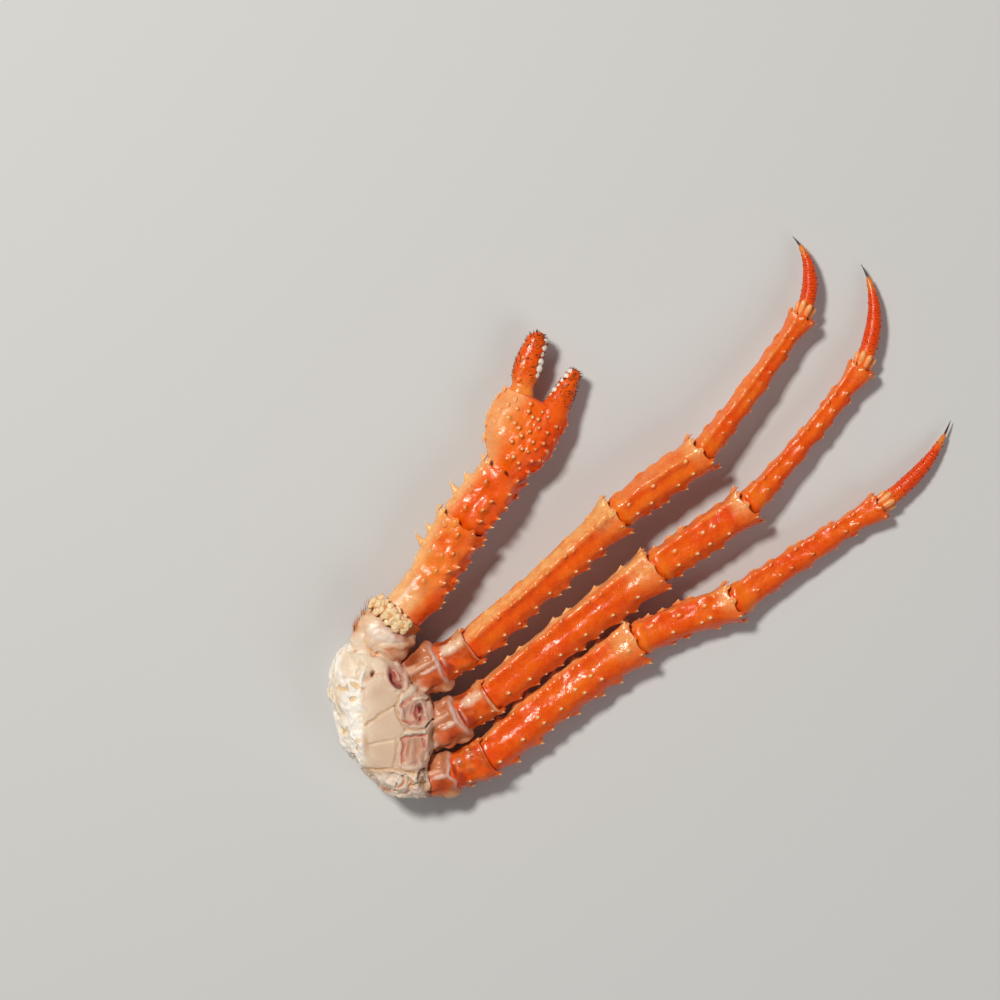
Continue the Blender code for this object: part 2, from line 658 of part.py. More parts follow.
def window_cutter(index, window, cutters):
    """A shallow window between the plates: an oval funnel, wider at the top."""
    (x, y), half_length, half_width, heading, depth = window
    axis = heading_vector(heading)
    across = Vector((-axis.y, axis.x, 0.0))
    levels = [(WINDOW_TOP - depth * below, share) for below, share in WINDOW_FUNNEL]
    levels.append((WINDOW_TOP + WINDOW_MOUTH[0], WINDOW_MOUTH[1]))
    rings = []
    for height, share in levels:
        points = []
        for k in range(WINDOW_SIDES):
            angle = math.tau * k / WINDOW_SIDES
            reach = axis * (half_length * share * math.cos(angle))
            spread = across * (half_width * share * math.sin(angle))
            points.append(Vector((x, y, height)) + reach + spread)
        rings.append(points)
    bm, _ = loft(rings)
    return make_cutter(f"window_{index}", bm, cutters)


# ---------------------------------------------------------------- build
def clear_scene():
    for item in list(bpy.data.objects):
        bpy.data.objects.remove(item)


def main():
    clear_scene()
    rng = random.Random(SEED)
    scene_root = bpy.context.scene.collection
    collection = bpy.data.collections.new("king_crab_cluster")
    cutters = bpy.data.collections.new("cutters")
    scene_root.children.link(collection)
    scene_root.children.link(cutters)
    cluster = bpy.data.objects.new("cluster", None)
    cluster.location = CENTRE_SHIFT * MILLIMETRE
    collection.objects.link(cluster)

    shoulder = build_shoulder(collection, rng)
    for name, leg in WALKING_LEGS.items():
        build_walking_leg(name, leg, collection, rng)
        coxa = next(walking_segments(leg))[1]
        cut(shoulder, socket_cutter(name, coxa, cutters))
    build_claw_arm(collection, rng)
    cut(shoulder, socket_cutter("claw", next(claw_segments())[1], cutters))
    for index, window in enumerate(SHOULDER_WINDOWS, 1):
        cut(shoulder, window_cutter(index, window, cutters))


main()
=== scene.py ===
"""King crab leg cluster: the looks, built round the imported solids.

Each shell segment is a fine grid round the same axis and widths as the solid that it stands for. Ridges,
swellings and rims are part of the grid, and thorns and tubercles grow out of it. A colour attribute named
tint carries what changes along a shell, and the materials add the fine mottling and pits.
Lengths are in cluster millimetres and angles in degrees until a mesh is made.
"""
import math

import bpy
import numpy as np
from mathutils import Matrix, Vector


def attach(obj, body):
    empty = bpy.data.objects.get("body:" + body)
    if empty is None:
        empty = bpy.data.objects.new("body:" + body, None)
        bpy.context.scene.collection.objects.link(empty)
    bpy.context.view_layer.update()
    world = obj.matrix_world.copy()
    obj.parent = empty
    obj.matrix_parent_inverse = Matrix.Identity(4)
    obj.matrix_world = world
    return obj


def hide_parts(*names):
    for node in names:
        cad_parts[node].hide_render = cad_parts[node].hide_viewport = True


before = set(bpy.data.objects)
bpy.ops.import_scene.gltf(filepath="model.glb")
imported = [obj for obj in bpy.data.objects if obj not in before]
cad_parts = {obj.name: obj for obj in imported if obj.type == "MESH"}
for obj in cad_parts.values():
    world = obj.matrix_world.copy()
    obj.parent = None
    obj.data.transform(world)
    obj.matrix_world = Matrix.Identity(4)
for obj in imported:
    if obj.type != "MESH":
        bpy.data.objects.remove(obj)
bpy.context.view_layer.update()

# ---------------------------------------------------------------- the cluster's own sizes
MILLIMETRE = 0.001
CENTRE_SHIFT = np.array((-0.9, -0.2, 0.0))   # puts the middle of the solids' box over the origin
TOUCHING_GAP = 0.3       # left between two pieces that rest against each other
SHOULDER_MIDDLE = np.array((-154.0, -121.0))
MITRE_LENGTH = 9.0       # over which the end of a segment turns to meet its neighbour
SECTION_POWER = 2.35     # how square a cross-section is, where 2 is an ellipse
CREST_HEIGHT = 0.135     # of the crest of a leg, as a share of its half width
CREST_SPREAD = 12.5      # degrees from the crest to where it has mostly faded
PLATE_DOME = 0.45        # how far a plate of the breast stands up
GRID = 0.8               # spacing of a shell's grid
SPINE_MOTTLE = 0.15      # how much of the shell's mottling its thorns and tubercles keep
TALLEST_SWELLING = 3.8   # a spine taller than this raises the shell no further
COLLAR_PLACE = 0.982     # how far along a segment the spines of its collar stand
PATCH_TRIES = 20         # spots tried for each spine of a patch
LATTICE_SIZE = 32        # values each way of the random lattice behind the noise
LATTICE_SEED = 5
SEED = 11

WALKING_LEGS = {
    "leg_1": {
        "coxa": ((-137.0, -97.0, 19.0), (24.0, 28.0, 31.0, 33.0)),
        "root": (-120.0, -88.0, 19.0),
        "crest": 72.0,
        "paleness": 1.0,
        "segments": [
            ("basis", 21.5, 29.4, 21.0, (26.4, 21.4, 23.0, 25.4), 0.0),
            ("merus", 116.5, 42.1, 24.0, (20.6, 18.6, 21.0, 25.5), -0.4),
            ("carpus", 62.8, 35.7, 21.0, (18.6, 20.4, 21.0, 23.5), 1.2),
            ("propodus", 102.5, 53.3, 13.0, (15.0, 13.0, 11.8, 15.2), -1.2),
        ],
        "talon": {"length": 53.5, "headings": (66.0, 134.0), "tip_height": 6.0, "width": 10.0},
    },
    "leg_2": {
        "coxa": ((-131.0, -131.5, 18.6), (23.0, 26.0, 28.0, 30.0)),
        "root": (-108.6, -119.6, 19.0),
        "crest": 44.0,
        "paleness": 0.80,
        "segments": [
            ("basis", 21.8, 32.5, 19.6, (24.4, 20.6, 22.0, 24.4), 0.0),
            ("merus", 124.5, 37.6, 18.6, (20.8, 21.6, 23.0, 26.5), 1.5),
            ("carpus", 66.6, 34.0, 16.0, (19.0, 20.6, 21.0, 23.5), 0.6),
            ("propodus", 108.6, 50.2, 10.0, (15.0, 11.6, 11.6, 15.4), -1.5),
        ],
        "talon": {"length": 66.5, "headings": (65.0, 121.0), "tip_height": 4.5, "width": 10.4},
    },
    "leg_3": {
        "coxa": ((-135.0, -157.6, 17.2), (21.0, 24.0, 26.0, 27.4)),
        "root": (-113.4, -153.2, 16.4),
        "crest": 38.0,
        "paleness": 0.0,
        "segments": [
            ("basis", 23.4, 22.4, 14.8, (23.6, 23.0, 24.6, 26.4), 0.0),
            ("merus", 112.6, 37.6, 12.4, (22.6, 24.2, 24.2, 27.0), 1.9),
            ("carpus", 62.7, 21.9, 11.6, (19.0, 19.6, 20.6, 24.0), 2.2),
            ("propodus", 105.7, 33.4, 8.4, (18.0, 15.0, 12.4, 16.4), 0.8),
        ],
        "talon": {"length": 69.8, "headings": (35.0, 69.0), "tip_height": 3.5, "width": 10.0},
    },
}
CLAW_JOINTS = [
    (-160.5, -84.0, 20.5),
    (-149.0, -64.5, 21.5),
    (-142.6, -57.8, 21.5),
    (-108.4, -5.7, 19.0),
    (-82.5, 25.2, 17.0),
    (-61.0, 68.0, 14.5),
]
CLAW_SEGMENTS = [
    ("coxa", (30.0, 35.0, 34.5, 33.5), 0.84, 0.0),
    ("ischium", (27.0, 30.5, 30.5, 31.0), 0.84, 0.0),
    ("merus", (26.0, 24.8, 28.6, 31.6), 0.90, -2.2),
    ("carpus", (24.0, 28.0, 28.5, 27.5), 0.88, 0.0),
    ("palm", (22.0, 39.0, 41.0, 40.0), 0.64, 0.0),
]
FIXED_FINGER = {"side": -10.6, "reach": 29.0, "width": 15.6, "tip_width": 6.4, "flatness": 0.9, "veer": -1.0}
MOVABLE_FINGER = {
    "side": 11.4,
    "heading": 73.0,
    "length": 38.5,
    "widths": (15.4, 15.6, 12.6, 7.0),
    "flatness": 0.84,
}
FLATNESS = {"coxa": 0.96, "basis": 0.94, "merus": 0.88, "carpus": 0.92, "propodus": 0.95}

# Rows of thorns and tubercles: form, how many, first and last place along the segment (0 to 1), angle round
# it (0 left, 90 top, 180 right) and height. The last rows of a kind are low ones on its underside.
SPINE_ROWS = {
    "leg_1_merus": [
        ("thorn", 7, 0.13, 0.82, 178, 3.5),
        ("thorn", 6, 0.14, 0.90, 14, 1.3),
        ("bead", 8, 0.07, 0.86, 143, 1.8),
        ("speck", 9, 0.08, 0.85, 74, 1.3),
    ],
    "leg_1_carpus": [
        ("thorn", 4, 0.23, 0.66, 178, 3.0),
        ("thorn", 4, 0.16, 0.80, 5, 2.0),
        ("bead", 4, 0.14, 0.84, 132, 1.7),
        ("bead", 3, 0.24, 0.78, 84, 1.4),
    ],
    "leg_1_propodus": [
        ("thorn", 6, 0.12, 0.84, 4, 1.8),
        ("thorn", 5, 0.10, 0.76, 172, 1.6),
        ("speck", 7, 0.10, 0.82, 70, 1.3),
        ("speck", 7, 0.14, 0.88, 112, 1.3),
    ],
    "leg_2_merus": [
        ("thorn", 7, 0.10, 0.84, 178, 3.0),
        ("thorn", 6, 0.14, 0.86, 4, 2.3),
        ("bead", 6, 0.09, 0.84, 124, 1.9),
        ("bead", 4, 0.27, 0.76, 156, 1.6),
        ("speck", 7, 0.06, 0.74, 52, 1.4),
    ],
    "leg_2_carpus": [
        ("thorn", 5, 0.10, 0.82, 4, 2.5),
        ("thorn", 4, 0.20, 0.64, 178, 2.9),
        ("bead", 4, 0.15, 0.80, 128, 1.8),
        ("bead", 3, 0.24, 0.72, 78, 1.5),
    ],
    "leg_2_propodus": [
        ("thorn", 6, 0.09, 0.86, 4, 2.0),
        ("thorn", 6, 0.08, 0.84, 176, 1.7),
        ("speck", 6, 0.18, 0.84, 58, 1.4),
        ("speck", 7, 0.12, 0.82, 108, 1.4),
    ],
    "leg_3_merus": [
        ("thorn", 6, 0.13, 0.84, 4, 3.0),
        ("thorn", 5, 0.12, 0.82, 178, 3.6),
        ("bead", 6, 0.07, 0.74, 122, 1.9),
        ("bead", 4, 0.36, 0.92, 97, 1.5),
        ("bead", 3, 0.32, 0.72, 157, 1.6),
        ("speck", 5, 0.10, 0.68, 46, 1.4),
    ],
    "leg_3_carpus": [
        ("thorn", 5, 0.08, 0.66, 4, 2.5),
        ("thorn", 3, 0.30, 0.75, 178, 2.5),
        ("bead", 4, 0.14, 0.82, 116, 1.7),
        ("bead", 3, 0.28, 0.76, 66, 1.4),
    ],
    "leg_3_propodus": [
        ("thorn", 8, 0.08, 0.87, 4, 2.1),
        ("thorn", 5, 0.12, 0.81, 178, 1.8),
        ("speck", 6, 0.18, 0.84, 48, 1.4),
        ("speck", 6, 0.14, 0.87, 104, 1.4),
    ],
    "claw_merus": [
        ("horn", 1, 0.68, 0.68, 6, 10.0),
        ("horn", 1, 0.83, 0.83, 10, 6.8),
        ("horn", 3, 0.50, 0.70, 26, 2.4),
        ("horn", 7, 0.22, 0.92, 172, 3.4),
    ],
    "claw_carpus": [
        ("horn", 1, 0.17, 0.17, 8, 2.6),
        ("horn", 1, 0.38, 0.38, 4, 8.6),
        ("horn", 1, 0.64, 0.64, 6, 6.2),
        ("horn", 4, 0.20, 0.84, 174, 2.8),
    ],
    "claw_palm": [
        ("horn", 9, 0.50, 0.96, 2, 3.2),
        ("thorn", 1, 0.33, 0.33, 6, 3.2),
        ("horn", 4, 0.58, 0.90, 24, 2.4),
        ("thorn", 8, 0.10, 0.92, 176, 2.0),
        ("pearl", 5, 0.18, 0.84, 160, 1.5),
    ],
    "basis": [
        ("thorn", 2, 0.44, 0.72, 170, 1.9),
        ("bead", 2, 0.44, 0.76, 134, 1.3),
        ("bead", 1, 0.60, 0.60, 44, 1.1),
    ],
    "merus": [("bead", 4, 0.18, 0.84, 232, 1.1), ("bead", 3, 0.28, 0.72, 304, 1.0)],
    "carpus": [("bead", 2, 0.30, 0.66, 236, 1.0), ("bead", 1, 0.46, 0.46, 300, 0.9)],
    "propodus": [("bead", 4, 0.20, 0.84, 238, 0.8)],
    "palm": [("bead", 3, 0.25, 0.75, 244, 1.0), ("bead", 2, 0.35, 0.65, 292, 1.0)],
}
# Patches of them that stand in no row: form, how many, places along, angles round and height.
SPINE_PATCHES = {
    "claw_ischium": [("knob", 27, (0.10, 0.94), (24.0, 120.0), 2.2)],
    "claw_merus": [("horn", 15, (0.36, 0.94), (36.0, 158.0), 4.0)],
    "claw_carpus": [("horn", 12, (0.16, 0.88), (34.0, 154.0), 4.4)],
    "claw_palm": [
        ("pearl", 25, (0.16, 0.92), (74.0, 152.0), 2.5),
        ("pearl", 4, (0.62, 0.95), (34.0, 70.0), 2.7),
    ],
}
# Collar spines round a rim: angle, height, and how far the rim's lobe under each reaches forward.
COLLARS = {
    "basis": [(150.0, 2.0, 1.4), (30.0, 1.4, 0.8)],
    "merus": [(-8.0, 3.2, 3.0), (32.0, 2.4, 1.6), (76.0, 1.5, 1.0), (124.0, 1.8, 1.2), (160.0, 2.8, 2.6),
              (190.0, 2.9, 3.6), (270.0, 1.2, 1.4)],
    "carpus": [(-6.0, 3.2, 3.0), (36.0, 2.2, 1.4), (82.0, 1.5, 1.0), (132.0, 1.9, 1.4), (182.0, 2.9, 3.4),
               (262.0, 1.2, 1.4)],
    "propodus": [(0.0, 2.2, 2.8), (46.0, 1.4, 1.8), (96.0, 1.4, 1.8), (140.0, 1.6, 1.8), (184.0, 2.5, 3.0),
                 (260.0, 1.0, 1.6)],
    "ischium": [],
    "coxa": [(24.0, 0.0, 1.6), (96.0, 0.0, -1.0), (164.0, 0.0, 2.6)],
}

# Colours, as linear red, green and blue.
ORANGE = (0.95, 0.150, 0.003)
RED = (0.84, 0.060, 0.001)
AMBER_ORANGE = (0.97, 0.250, 0.012)
PEACH = (0.99, 0.570, 0.205)
SALMON = (0.90, 0.170, 0.060)
CREAM = (0.92, 0.74, 0.46)
HONEY = (0.92, 0.42, 0.12)
WHITE = (0.86, 0.76, 0.62)
LIP = (0.78, 0.55, 0.45)
MEMBRANE = (0.62, 0.35, 0.27)
RAW = (0.38, 0.040, 0.030)
# deep red for the depths of openings and holes: partly raw flesh and partly painted shade
MAROON = (0.16, 0.010, 0.010)
SEAM = (0.30, 0.018, 0.006)
SEAM_TAN = (0.52, 0.29, 0.12)
# near-black painted shade for the gaps between lumps
CLEFT_SHADE = (0.11, 0.030, 0.012)
HORN = (0.050, 0.022, 0.024)
SPECK = (0.055, 0.022, 0.012)
CLAW_ORANGE = (0.94, 0.140, 0.001)
CLAW_PEACH = (0.97, 0.36, 0.060)
TALON_RED = (0.86, 0.070, 0.002)
# dark red for painted shade in the talon's wrinkle grooves
WRINKLE_SHADE = (0.55, 0.030, 0.001)
CREST_GOLD = (0.97, 0.42, 0.09)
BASIS_STAIN = (0.46, 0.085, 0.012)
CLAW_GOLD = (0.99, 0.66, 0.28)
CLAW_RED = (0.88, 0.100, 0.001)
CLAW_PALE = (0.96, 0.60, 0.28)
CLAW_LINE = (0.97, 0.86, 0.72)
FINGER_BASE = (0.92, 0.13, 0.006)
FINGER_PIT = (0.24, 0.020, 0.006)
ISCHIUM_BROWN = (0.56, 0.13, 0.035)
ISCHIUM_BONE = (0.88, 0.64, 0.38)
COXA_BROWN = (0.43, 0.105, 0.030)
COXA_TAN = (0.61, 0.25, 0.120)
COXA_STAIN = (0.50, 0.11, 0.025)
COXA_BONE = (0.90, 0.76, 0.58)
COXA_LIP = (0.80, 0.62, 0.56)
COXA_CUP = (0.44, 0.10, 0.05)
OCHRE = (0.82, 0.26, 0.045)
OCHRE_DEEP = (0.74, 0.48, 0.15)
UNDERSIDE = (0.84, 0.42, 0.20)
TAN = (0.66, 0.36, 0.18)
DEEPER = (0.78, 0.42, 0.28)   # what mottling multiplies the tint by
MEAT = (0.98, 0.95, 0.89)
# painted shade for the dips between the meat's lumps
MEAT_SHADE = (0.80, 0.62, 0.40)
PLATE = (0.63, 0.43, 0.30)
PLATE_PALE = (0.83, 0.69, 0.54)
PLATE_PINK = (0.70, 0.46, 0.34)
LOWER_TAN = (0.68, 0.46, 0.30)
AMBER = (0.46, 0.17, 0.03)
TUFT = (0.62, 0.25, 0.06)
TOOTH = (0.88, 0.84, 0.76)
FLOOR = (0.61, 0.62, 0.63)

LATTICE = np.random.default_rng(LATTICE_SEED).uniform(-1.0, 1.0, (LATTICE_SIZE,) * 3)


# ---------------------------------------------------------------- small mathematics
def unit(v):
    return v / np.linalg.norm(v, axis=-1, keepdims=True)


def smooth(x):
    """A smooth step from 0 at zero to 1 at one."""
    x = np.clip(x, 0.0, 1.0)
    return x * x * (3.0 - 2.0 * x)


def mix(a, b, share):
    """Between two colours, by a share for each point."""
    share = np.asarray(share)[..., None]
    return np.asarray(a) * (1.0 - share) + np.asarray(b) * share


def paint(colours, layers):
    """Lays colours over one another, each by its share."""
    for colour, share in layers:
        colours = mix(colours, colour, share)
    return colours


def wrapped(angle):
    """An angle brought to between -180 and 180."""
    return (angle + 180.0) % 360.0 - 180.0


def bell(x):
    """1 at zero, falling smoothly to nothing on both sides."""
    return np.exp(-x * x)


def noise(points, size, turn=0.0):
    """Smooth unevenness, -1 to 1, whose bumps are about size across."""
    p = points / size + 11.7 * turn
    low = np.floor(p).astype(int)
    f = smooth(p - low)
    total = np.zeros(p.shape[:-1])
    for dx in (0, 1):
        for dy in (0, 1):
            for dz in (0, 1):
                weight = np.ones(p.shape[:-1])
                for axis, d in enumerate((dx, dy, dz)):
                    weight = weight * (f[..., axis] if d else 1.0 - f[..., axis])
                index = (low + (dx, dy, dz)) % LATTICE_SIZE
                total += weight * LATTICE[index[..., 0], index[..., 1], index[..., 2]]
    return total


def warp(points):
    """The points drawn a little out of place, so that noise shows none of its grid."""
    swapped = points[..., [1, 2, 0]] * 0.8
    return points + 1.1 * np.stack([noise(swapped, 4.1, 70.0 + i) for i in range(3)], axis=-1)


def heading_vector(heading):
    """The level direction at an angle from +X towards +Y."""
    h = math.radians(heading)
    return np.array((math.cos(h), math.sin(h), 0.0))


def side_and_up(forward):
    """To the left of travel, and upward."""
    side = unit(np.cross((0.0, 0.0, 1.0), forward))
    return side, np.cross(forward, side)


def turns(count):
    """Evenly spaced angles round a full turn."""
    return np.arange(count) * 360.0 / count


def outward_at(forward, angle):
    """The direction straight out of an axis at an angle round it."""
    side, up = side_and_up(forward)
    a = math.radians(angle)
    return side * math.cos(a) + up * math.sin(a)


def outward_ring(facing, angles):
    """The directions straight out of an axis at each angle, for every row of facing."""
    side, up = side_and_up(facing)
    a = np.radians(angles)
    return side[:, None] * np.cos(a)[None, :, None] + up[:, None] * np.sin(a)[None, :, None]


def circle(first, second, sides):
    """Directions round a circle that starts at the first one and turns towards the second."""
    turn = np.radians(turns(sides))
    return np.outer(np.cos(turn), first) + np.outer(np.sin(turn), second)


def underneath(angle):
    """1 on the underside of a segment, fading out towards its sides."""
    return smooth((angle - 215.0) / 35.0) * smooth((335.0 - angle) / 35.0)


def along(values, t):
    """Value at each t of a smooth line through values at 0, 0.45, 0.85 and 1."""
    stops = (0.0, 0.45, 0.85, 1.0)
    result = np.full(np.shape(t), float(values[0]))
    for i in range(3):
        share = smooth((t - stops[i]) / (stops[i + 1] - stops[i]))
        result = result + (values[i + 1] - values[i]) * share
    return result


def superellipse(angle, half_width, half_height):
    """How far a rounded cross-section reaches at an angle."""
    c = np.abs(np.cos(angle)) / half_width
    s = np.abs(np.sin(angle)) / half_height
    return (c ** SECTION_POWER + s ** SECTION_POWER) ** (-1.0 / SECTION_POWER)


# ---------------------------------------------------------------- mesh making
class Body:
    """Collects closed tubes with a colour at each point, and becomes one mesh."""

    def __init__(self):
        self.points, self.colours, self.mottle, self.quads, self.tris = [], [], [], [], []
        self.count = 0

    def tube(self, rings, colours, mottle=1.0):
        """A closed tube through rings (rows, sides, 3), counterclockwise about its travel."""
        rows, sides, _ = rings.shape
        colours = np.broadcast_to(colours, rings.shape)
        first = self.count
        index = first + np.arange(rows * sides).reshape(rows, sides)
        turned = np.roll(index, -1, axis=1)
        quads = np.stack((index[:-1], turned[:-1], turned[1:], index[1:]), axis=-1)
        self.quads.append(quads.reshape(-1, 4))
        ends = np.stack((rings[0].mean(axis=0), rings[-1].mean(axis=0)))
        bottom, top = first + rows * sides, first + rows * sides + 1
        self.tris.append(np.stack((turned[0], index[0], np.full(sides, bottom)), axis=-1))
        self.tris.append(np.stack((index[-1], turned[-1], np.full(sides, top)), axis=-1))
        self.points += [rings.reshape(-1, 3), ends]
        end_colours = np.stack((colours[0].mean(axis=0), colours[-1].mean(axis=0)))
        self.colours += [colours.reshape(-1, 3), end_colours]
        self.mottle.append(np.full(rows * sides + 2, mottle))
        self.count += rows * sides + 2

    def mesh(self, name):
        points = (np.concatenate(self.points) + CENTRE_SHIFT) * MILLIMETRE
        points[:, 2] = np.maximum(points[:, 2], 0.0)
        colours = np.concatenate(self.colours)
        quads, tris = np.concatenate(self.quads), np.concatenate(self.tris)
        mesh = bpy.data.meshes.new(name)
        mesh.vertices.add(len(points))
        mesh.vertices.foreach_set("co", points.ravel().astype(np.float32))
        mesh.loops.add(quads.size + tris.size)
        corners = np.concatenate((quads.ravel(), tris.ravel()))
        mesh.loops.foreach_set("vertex_index", corners.astype(np.int32))
        starts = np.concatenate((np.arange(len(quads)) * 4, quads.size + np.arange(len(tris)) * 3))
        mesh.polygons.add(len(starts))
        mesh.polygons.foreach_set("loop_start", starts.astype(np.int32))
        mesh.update(calc_edges=True)
        tint = mesh.attributes.new("tint", "FLOAT_COLOR", "POINT")
        values = np.ones((len(points), 4), dtype=np.float32)
        values[:, :3] = np.clip(colours, 0.0, 1.0)
        values[:, 3] = np.concatenate(self.mottle)
        tint.data.foreach_set("color", values.ravel())
        mesh.validate()
        mesh.shade_smooth()
        mesh.set_sharp_from_angle(angle=math.radians(62.0))
        return mesh


def make_piece(name, body, material, node=None):
    """Adds a finished piece to the scene. It rides on the one body and may stand for a solid."""
    piece = bpy.data.objects.new(name, body.mesh(name))
    piece.data.materials.append(material)
    bpy.context.scene.collection.objects.link(piece)
    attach(piece, "root")
    if node:
        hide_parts(node)


# ---------------------------------------------------------------- one shell segment
class Shell:
    """The surface of a tubular segment, found from a place from 0 to 1 along it and an angle round it."""

    def __init__(self, start, end, widths, flatness, bow, before, after, crest=None, thinning=0.0):
        self.start, self.end = np.array(start, float), np.array(end, float)
        self.length = np.linalg.norm(self.end - self.start)
        self.forward = unit(self.end - self.start)
        self.widths, self.flatness, self.bow, self.crest = widths, flatness, bow, crest
        self.thinning = thinning
        self.first_plane = unit(before + self.forward)
        self.last_plane = unit(after + self.forward)

    def half_width(self, t):
        return 0.5 * along(self.widths, t)

    def half_height(self, t):
        """The palm thins towards its fingers. The other segments keep one flatness."""
        thinning = 1.0 - self.thinning * smooth((np.asarray(t) - 0.55) / 0.45)
        return self.half_width(t) * self.flatness * thinning

    def centre(self, t):
        side, _ = side_and_up(self.forward)
        t = np.asarray(t)[..., None]
        return self.start + (self.end - self.start) * t + side * (self.bow * 4.0 * t * (1.0 - t))

    def facing(self, t):
        s = self.length * np.asarray(t)[..., None]
        first = 1.0 - smooth(s / MITRE_LENGTH)
        last = 1.0 - smooth((self.length - s) / MITRE_LENGTH)
        middle = np.maximum(0.0, 1.0 - first - last)
        return unit(self.first_plane * first + self.last_plane * last + self.forward * middle)

    def surface(self, t, angle, shrink=0.0, shift=0.0):
        """Points of the shell and the directions straight out of it, for arrays of one shape."""
        half = self.half_width(t)
        facing = self.facing(t)
        side, up = side_and_up(facing)
        a = np.radians(angle)
        radius = superellipse(a, half - shrink, self.half_height(t) - shrink)
        if self.crest is not None:
            line = np.stack((t * self.length, t * 0.0, t * 0.0), axis=-1)
            wander = noise(line, 9.0, self.crest)
            jag = noise(line, 3.4, self.crest + 1.0)
            off = wrapped(angle - self.crest - 7.0 * wander - 4.0 * jag)
            keel = CREST_HEIGHT * (1.0 + 0.40 * wander + 0.70 * jag) * bell(off / CREST_SPREAD)
            keel = keel - 0.05 * bell((off - 34.0) / 15.0)
            keel = keel - 0.03 * bell((off + 36.0) / 15.0) + 0.04 * bell(wrapped(angle - 174.0) / 14.0)
            radius = radius * (1.0 + keel * smooth(self.length * np.minimum(t, 1.04 - t) / 12.0))
        outward = side * np.cos(a)[..., None] + up * np.sin(a)[..., None]
        centre = self.centre(t) + facing * np.asarray(shift)[..., None]
        return centre + outward * radius[..., None], outward



# ---------------------------------------------------------------- thorns and tubercles
# Proportions of each form: base radius and its growth with height, lean towards the leg's tip, stretch of
# the base along the leg, bluntness of the tip, and the share of the height that is a swelling of the shell.
FORMS = {
    "thorn": {"base": (1.15, 0.36), "lean": 0.60, "stretch": 1.6, "blunt": 0.13, "mound": 0.40},
    "bead": {"base": (0.98, 0.38), "lean": 0.50, "stretch": 1.35, "blunt": 0.34, "mound": 0.42},
    "pearl": {"base": (0.62, 0.30), "lean": 0.12, "stretch": 1.0, "blunt": 0.55, "mound": 0.48},
    "knob": {"base": (1.45, 0.42), "lean": 0.10, "stretch": 1.25, "blunt": 0.60, "mound": 0.46},
    "horn": {"base": (1.05, 0.28), "lean": 0.34, "stretch": 1.25, "blunt": 0.13, "mound": 0.44},
    "speck": {"base": (0.70, 0.26), "lean": 0.80, "stretch": 1.5, "blunt": 0.34, "mound": 0.55},
    "collar": {"base": (1.45, 0.34), "lean": 0.75, "stretch": 1.4, "blunt": 0.14, "mound": 0.24},
}
# How much cream the tip of each form has, and how far up the spine it starts.
TIPS = {
    "thorn": (0.85, 0.46),
    "bead": (0.95, 0.34),
    "pearl": (0.80, 0.66),
    "knob": (0.80, -0.10),
    "horn": (0.85, 0.52),
    "speck": (0.35, 0.40),
    "collar": (0.75, 0.55),
}
SPINE_SIDES = 12
SPINE_STEPS = np.array((-0.20, 0.0, 0.10, 0.24, 0.42, 0.62, 0.80, 0.93, 1.0))


class Spine:
    """One thorn or tubercle, standing on a shell."""

    def __init__(self, form, t, angle, height):
        self.form, self.t, self.angle, self.height = form, t, angle, height
        base, growth = FORMS[form]["base"]
        capped = min(height, TALLEST_SWELLING)
        self.base = base + growth * capped
        self.swelling = FORMS[form]["mound"] * capped
        self.cone = height - 0.9 * self.swelling

    def mound(self, shell, t, angle):
        """How far the shell swells round the spine's foot. The swelling trails back along the leg."""
        reach = (t - self.t) * shell.length
        spread = wrapped(angle - self.angle) * math.radians(1.0) * shell.half_width(self.t)
        back = np.where(reach < 0.0, 1.9, 1.0)
        size = (1.7 if self.form == "horn" else 1.5) * self.base
        return self.swelling * bell(np.hypot(reach / back, spread) / size)


def spine_rings(foot, outward, forward, spine):
    """Rings of a spine from under the shell to its tip, one for each of SPINE_STEPS."""
    form = FORMS[spine.form]
    up = np.clip(SPINE_STEPS, 0.0, 1.0)
    across = unit(np.cross(outward, forward))
    if spine.form in ("pearl", "knob"):
        share = np.sqrt(np.clip(1.0 - up ** 2.0, 0.0, 1.0))
        share[-1] = 0.12
    else:
        share = 0.80 * (1.0 - up) ** 0.95 + 0.20 * (1.0 - up) ** 4
        share = np.maximum(share, form["blunt"] * np.array((1, 1, 1, 1, 1, 1, 1, 0.85, 0.35)))
    share[0] = 1.15
    lean = np.outer(form["lean"] * spine.height * up ** 1.4, forward)
    path = foot + np.outer(SPINE_STEPS * spine.cone, outward) + lean
    turn = np.radians(turns(SPINE_SIDES))
    stretch = 1.0 + (form["stretch"] - 1.0) * (1.0 - up)
    long_way = np.outer(share * stretch * spine.base, np.cos(turn))
    wide_way = np.outer(share * spine.base, np.sin(turn))
    tilt = 0.35 * form["lean"] * up
    axis = unit(forward - np.outer(tilt, outward))
    rings = path[:, None] + axis[:, None] * long_way[..., None] + across * wide_way[..., None]
    if spine.form == "knob":
        uneven = np.stack([noise(rings, 1.7, 80.0 + i) for i in range(3)], axis=-1)
        rings = rings + 0.75 * uneven
    return rings


def spine_colours(spine, foot_colour):
    """Shell colour at the foot, then warm yellow, and cream at the tip. Specks have a dark front."""
    pale, start = TIPS[spine.form]
    steps = SPINE_STEPS
    warm = mix(foot_colour, HONEY, 0.75 * smooth((steps - start + 0.25) / 0.4))
    colours = mix(warm, CREAM, pale * smooth((steps - start) / 0.35))
    if spine.form == "pearl":
        colours = mix(colours, OCHRE_DEEP, 0.40 * smooth((steps - 0.86) / 0.10))
    colours = np.repeat(colours[:, None], SPINE_SIDES, axis=1)
    if spine.form == "speck":
        front = smooth((np.cos(np.radians(turns(SPINE_SIDES))) - 0.1) / 0.5)
        dark = front[None] * smooth((steps - 0.25) / 0.2)[:, None]
        colours = mix(colours, SPECK, dark * 0.9)
    return colours


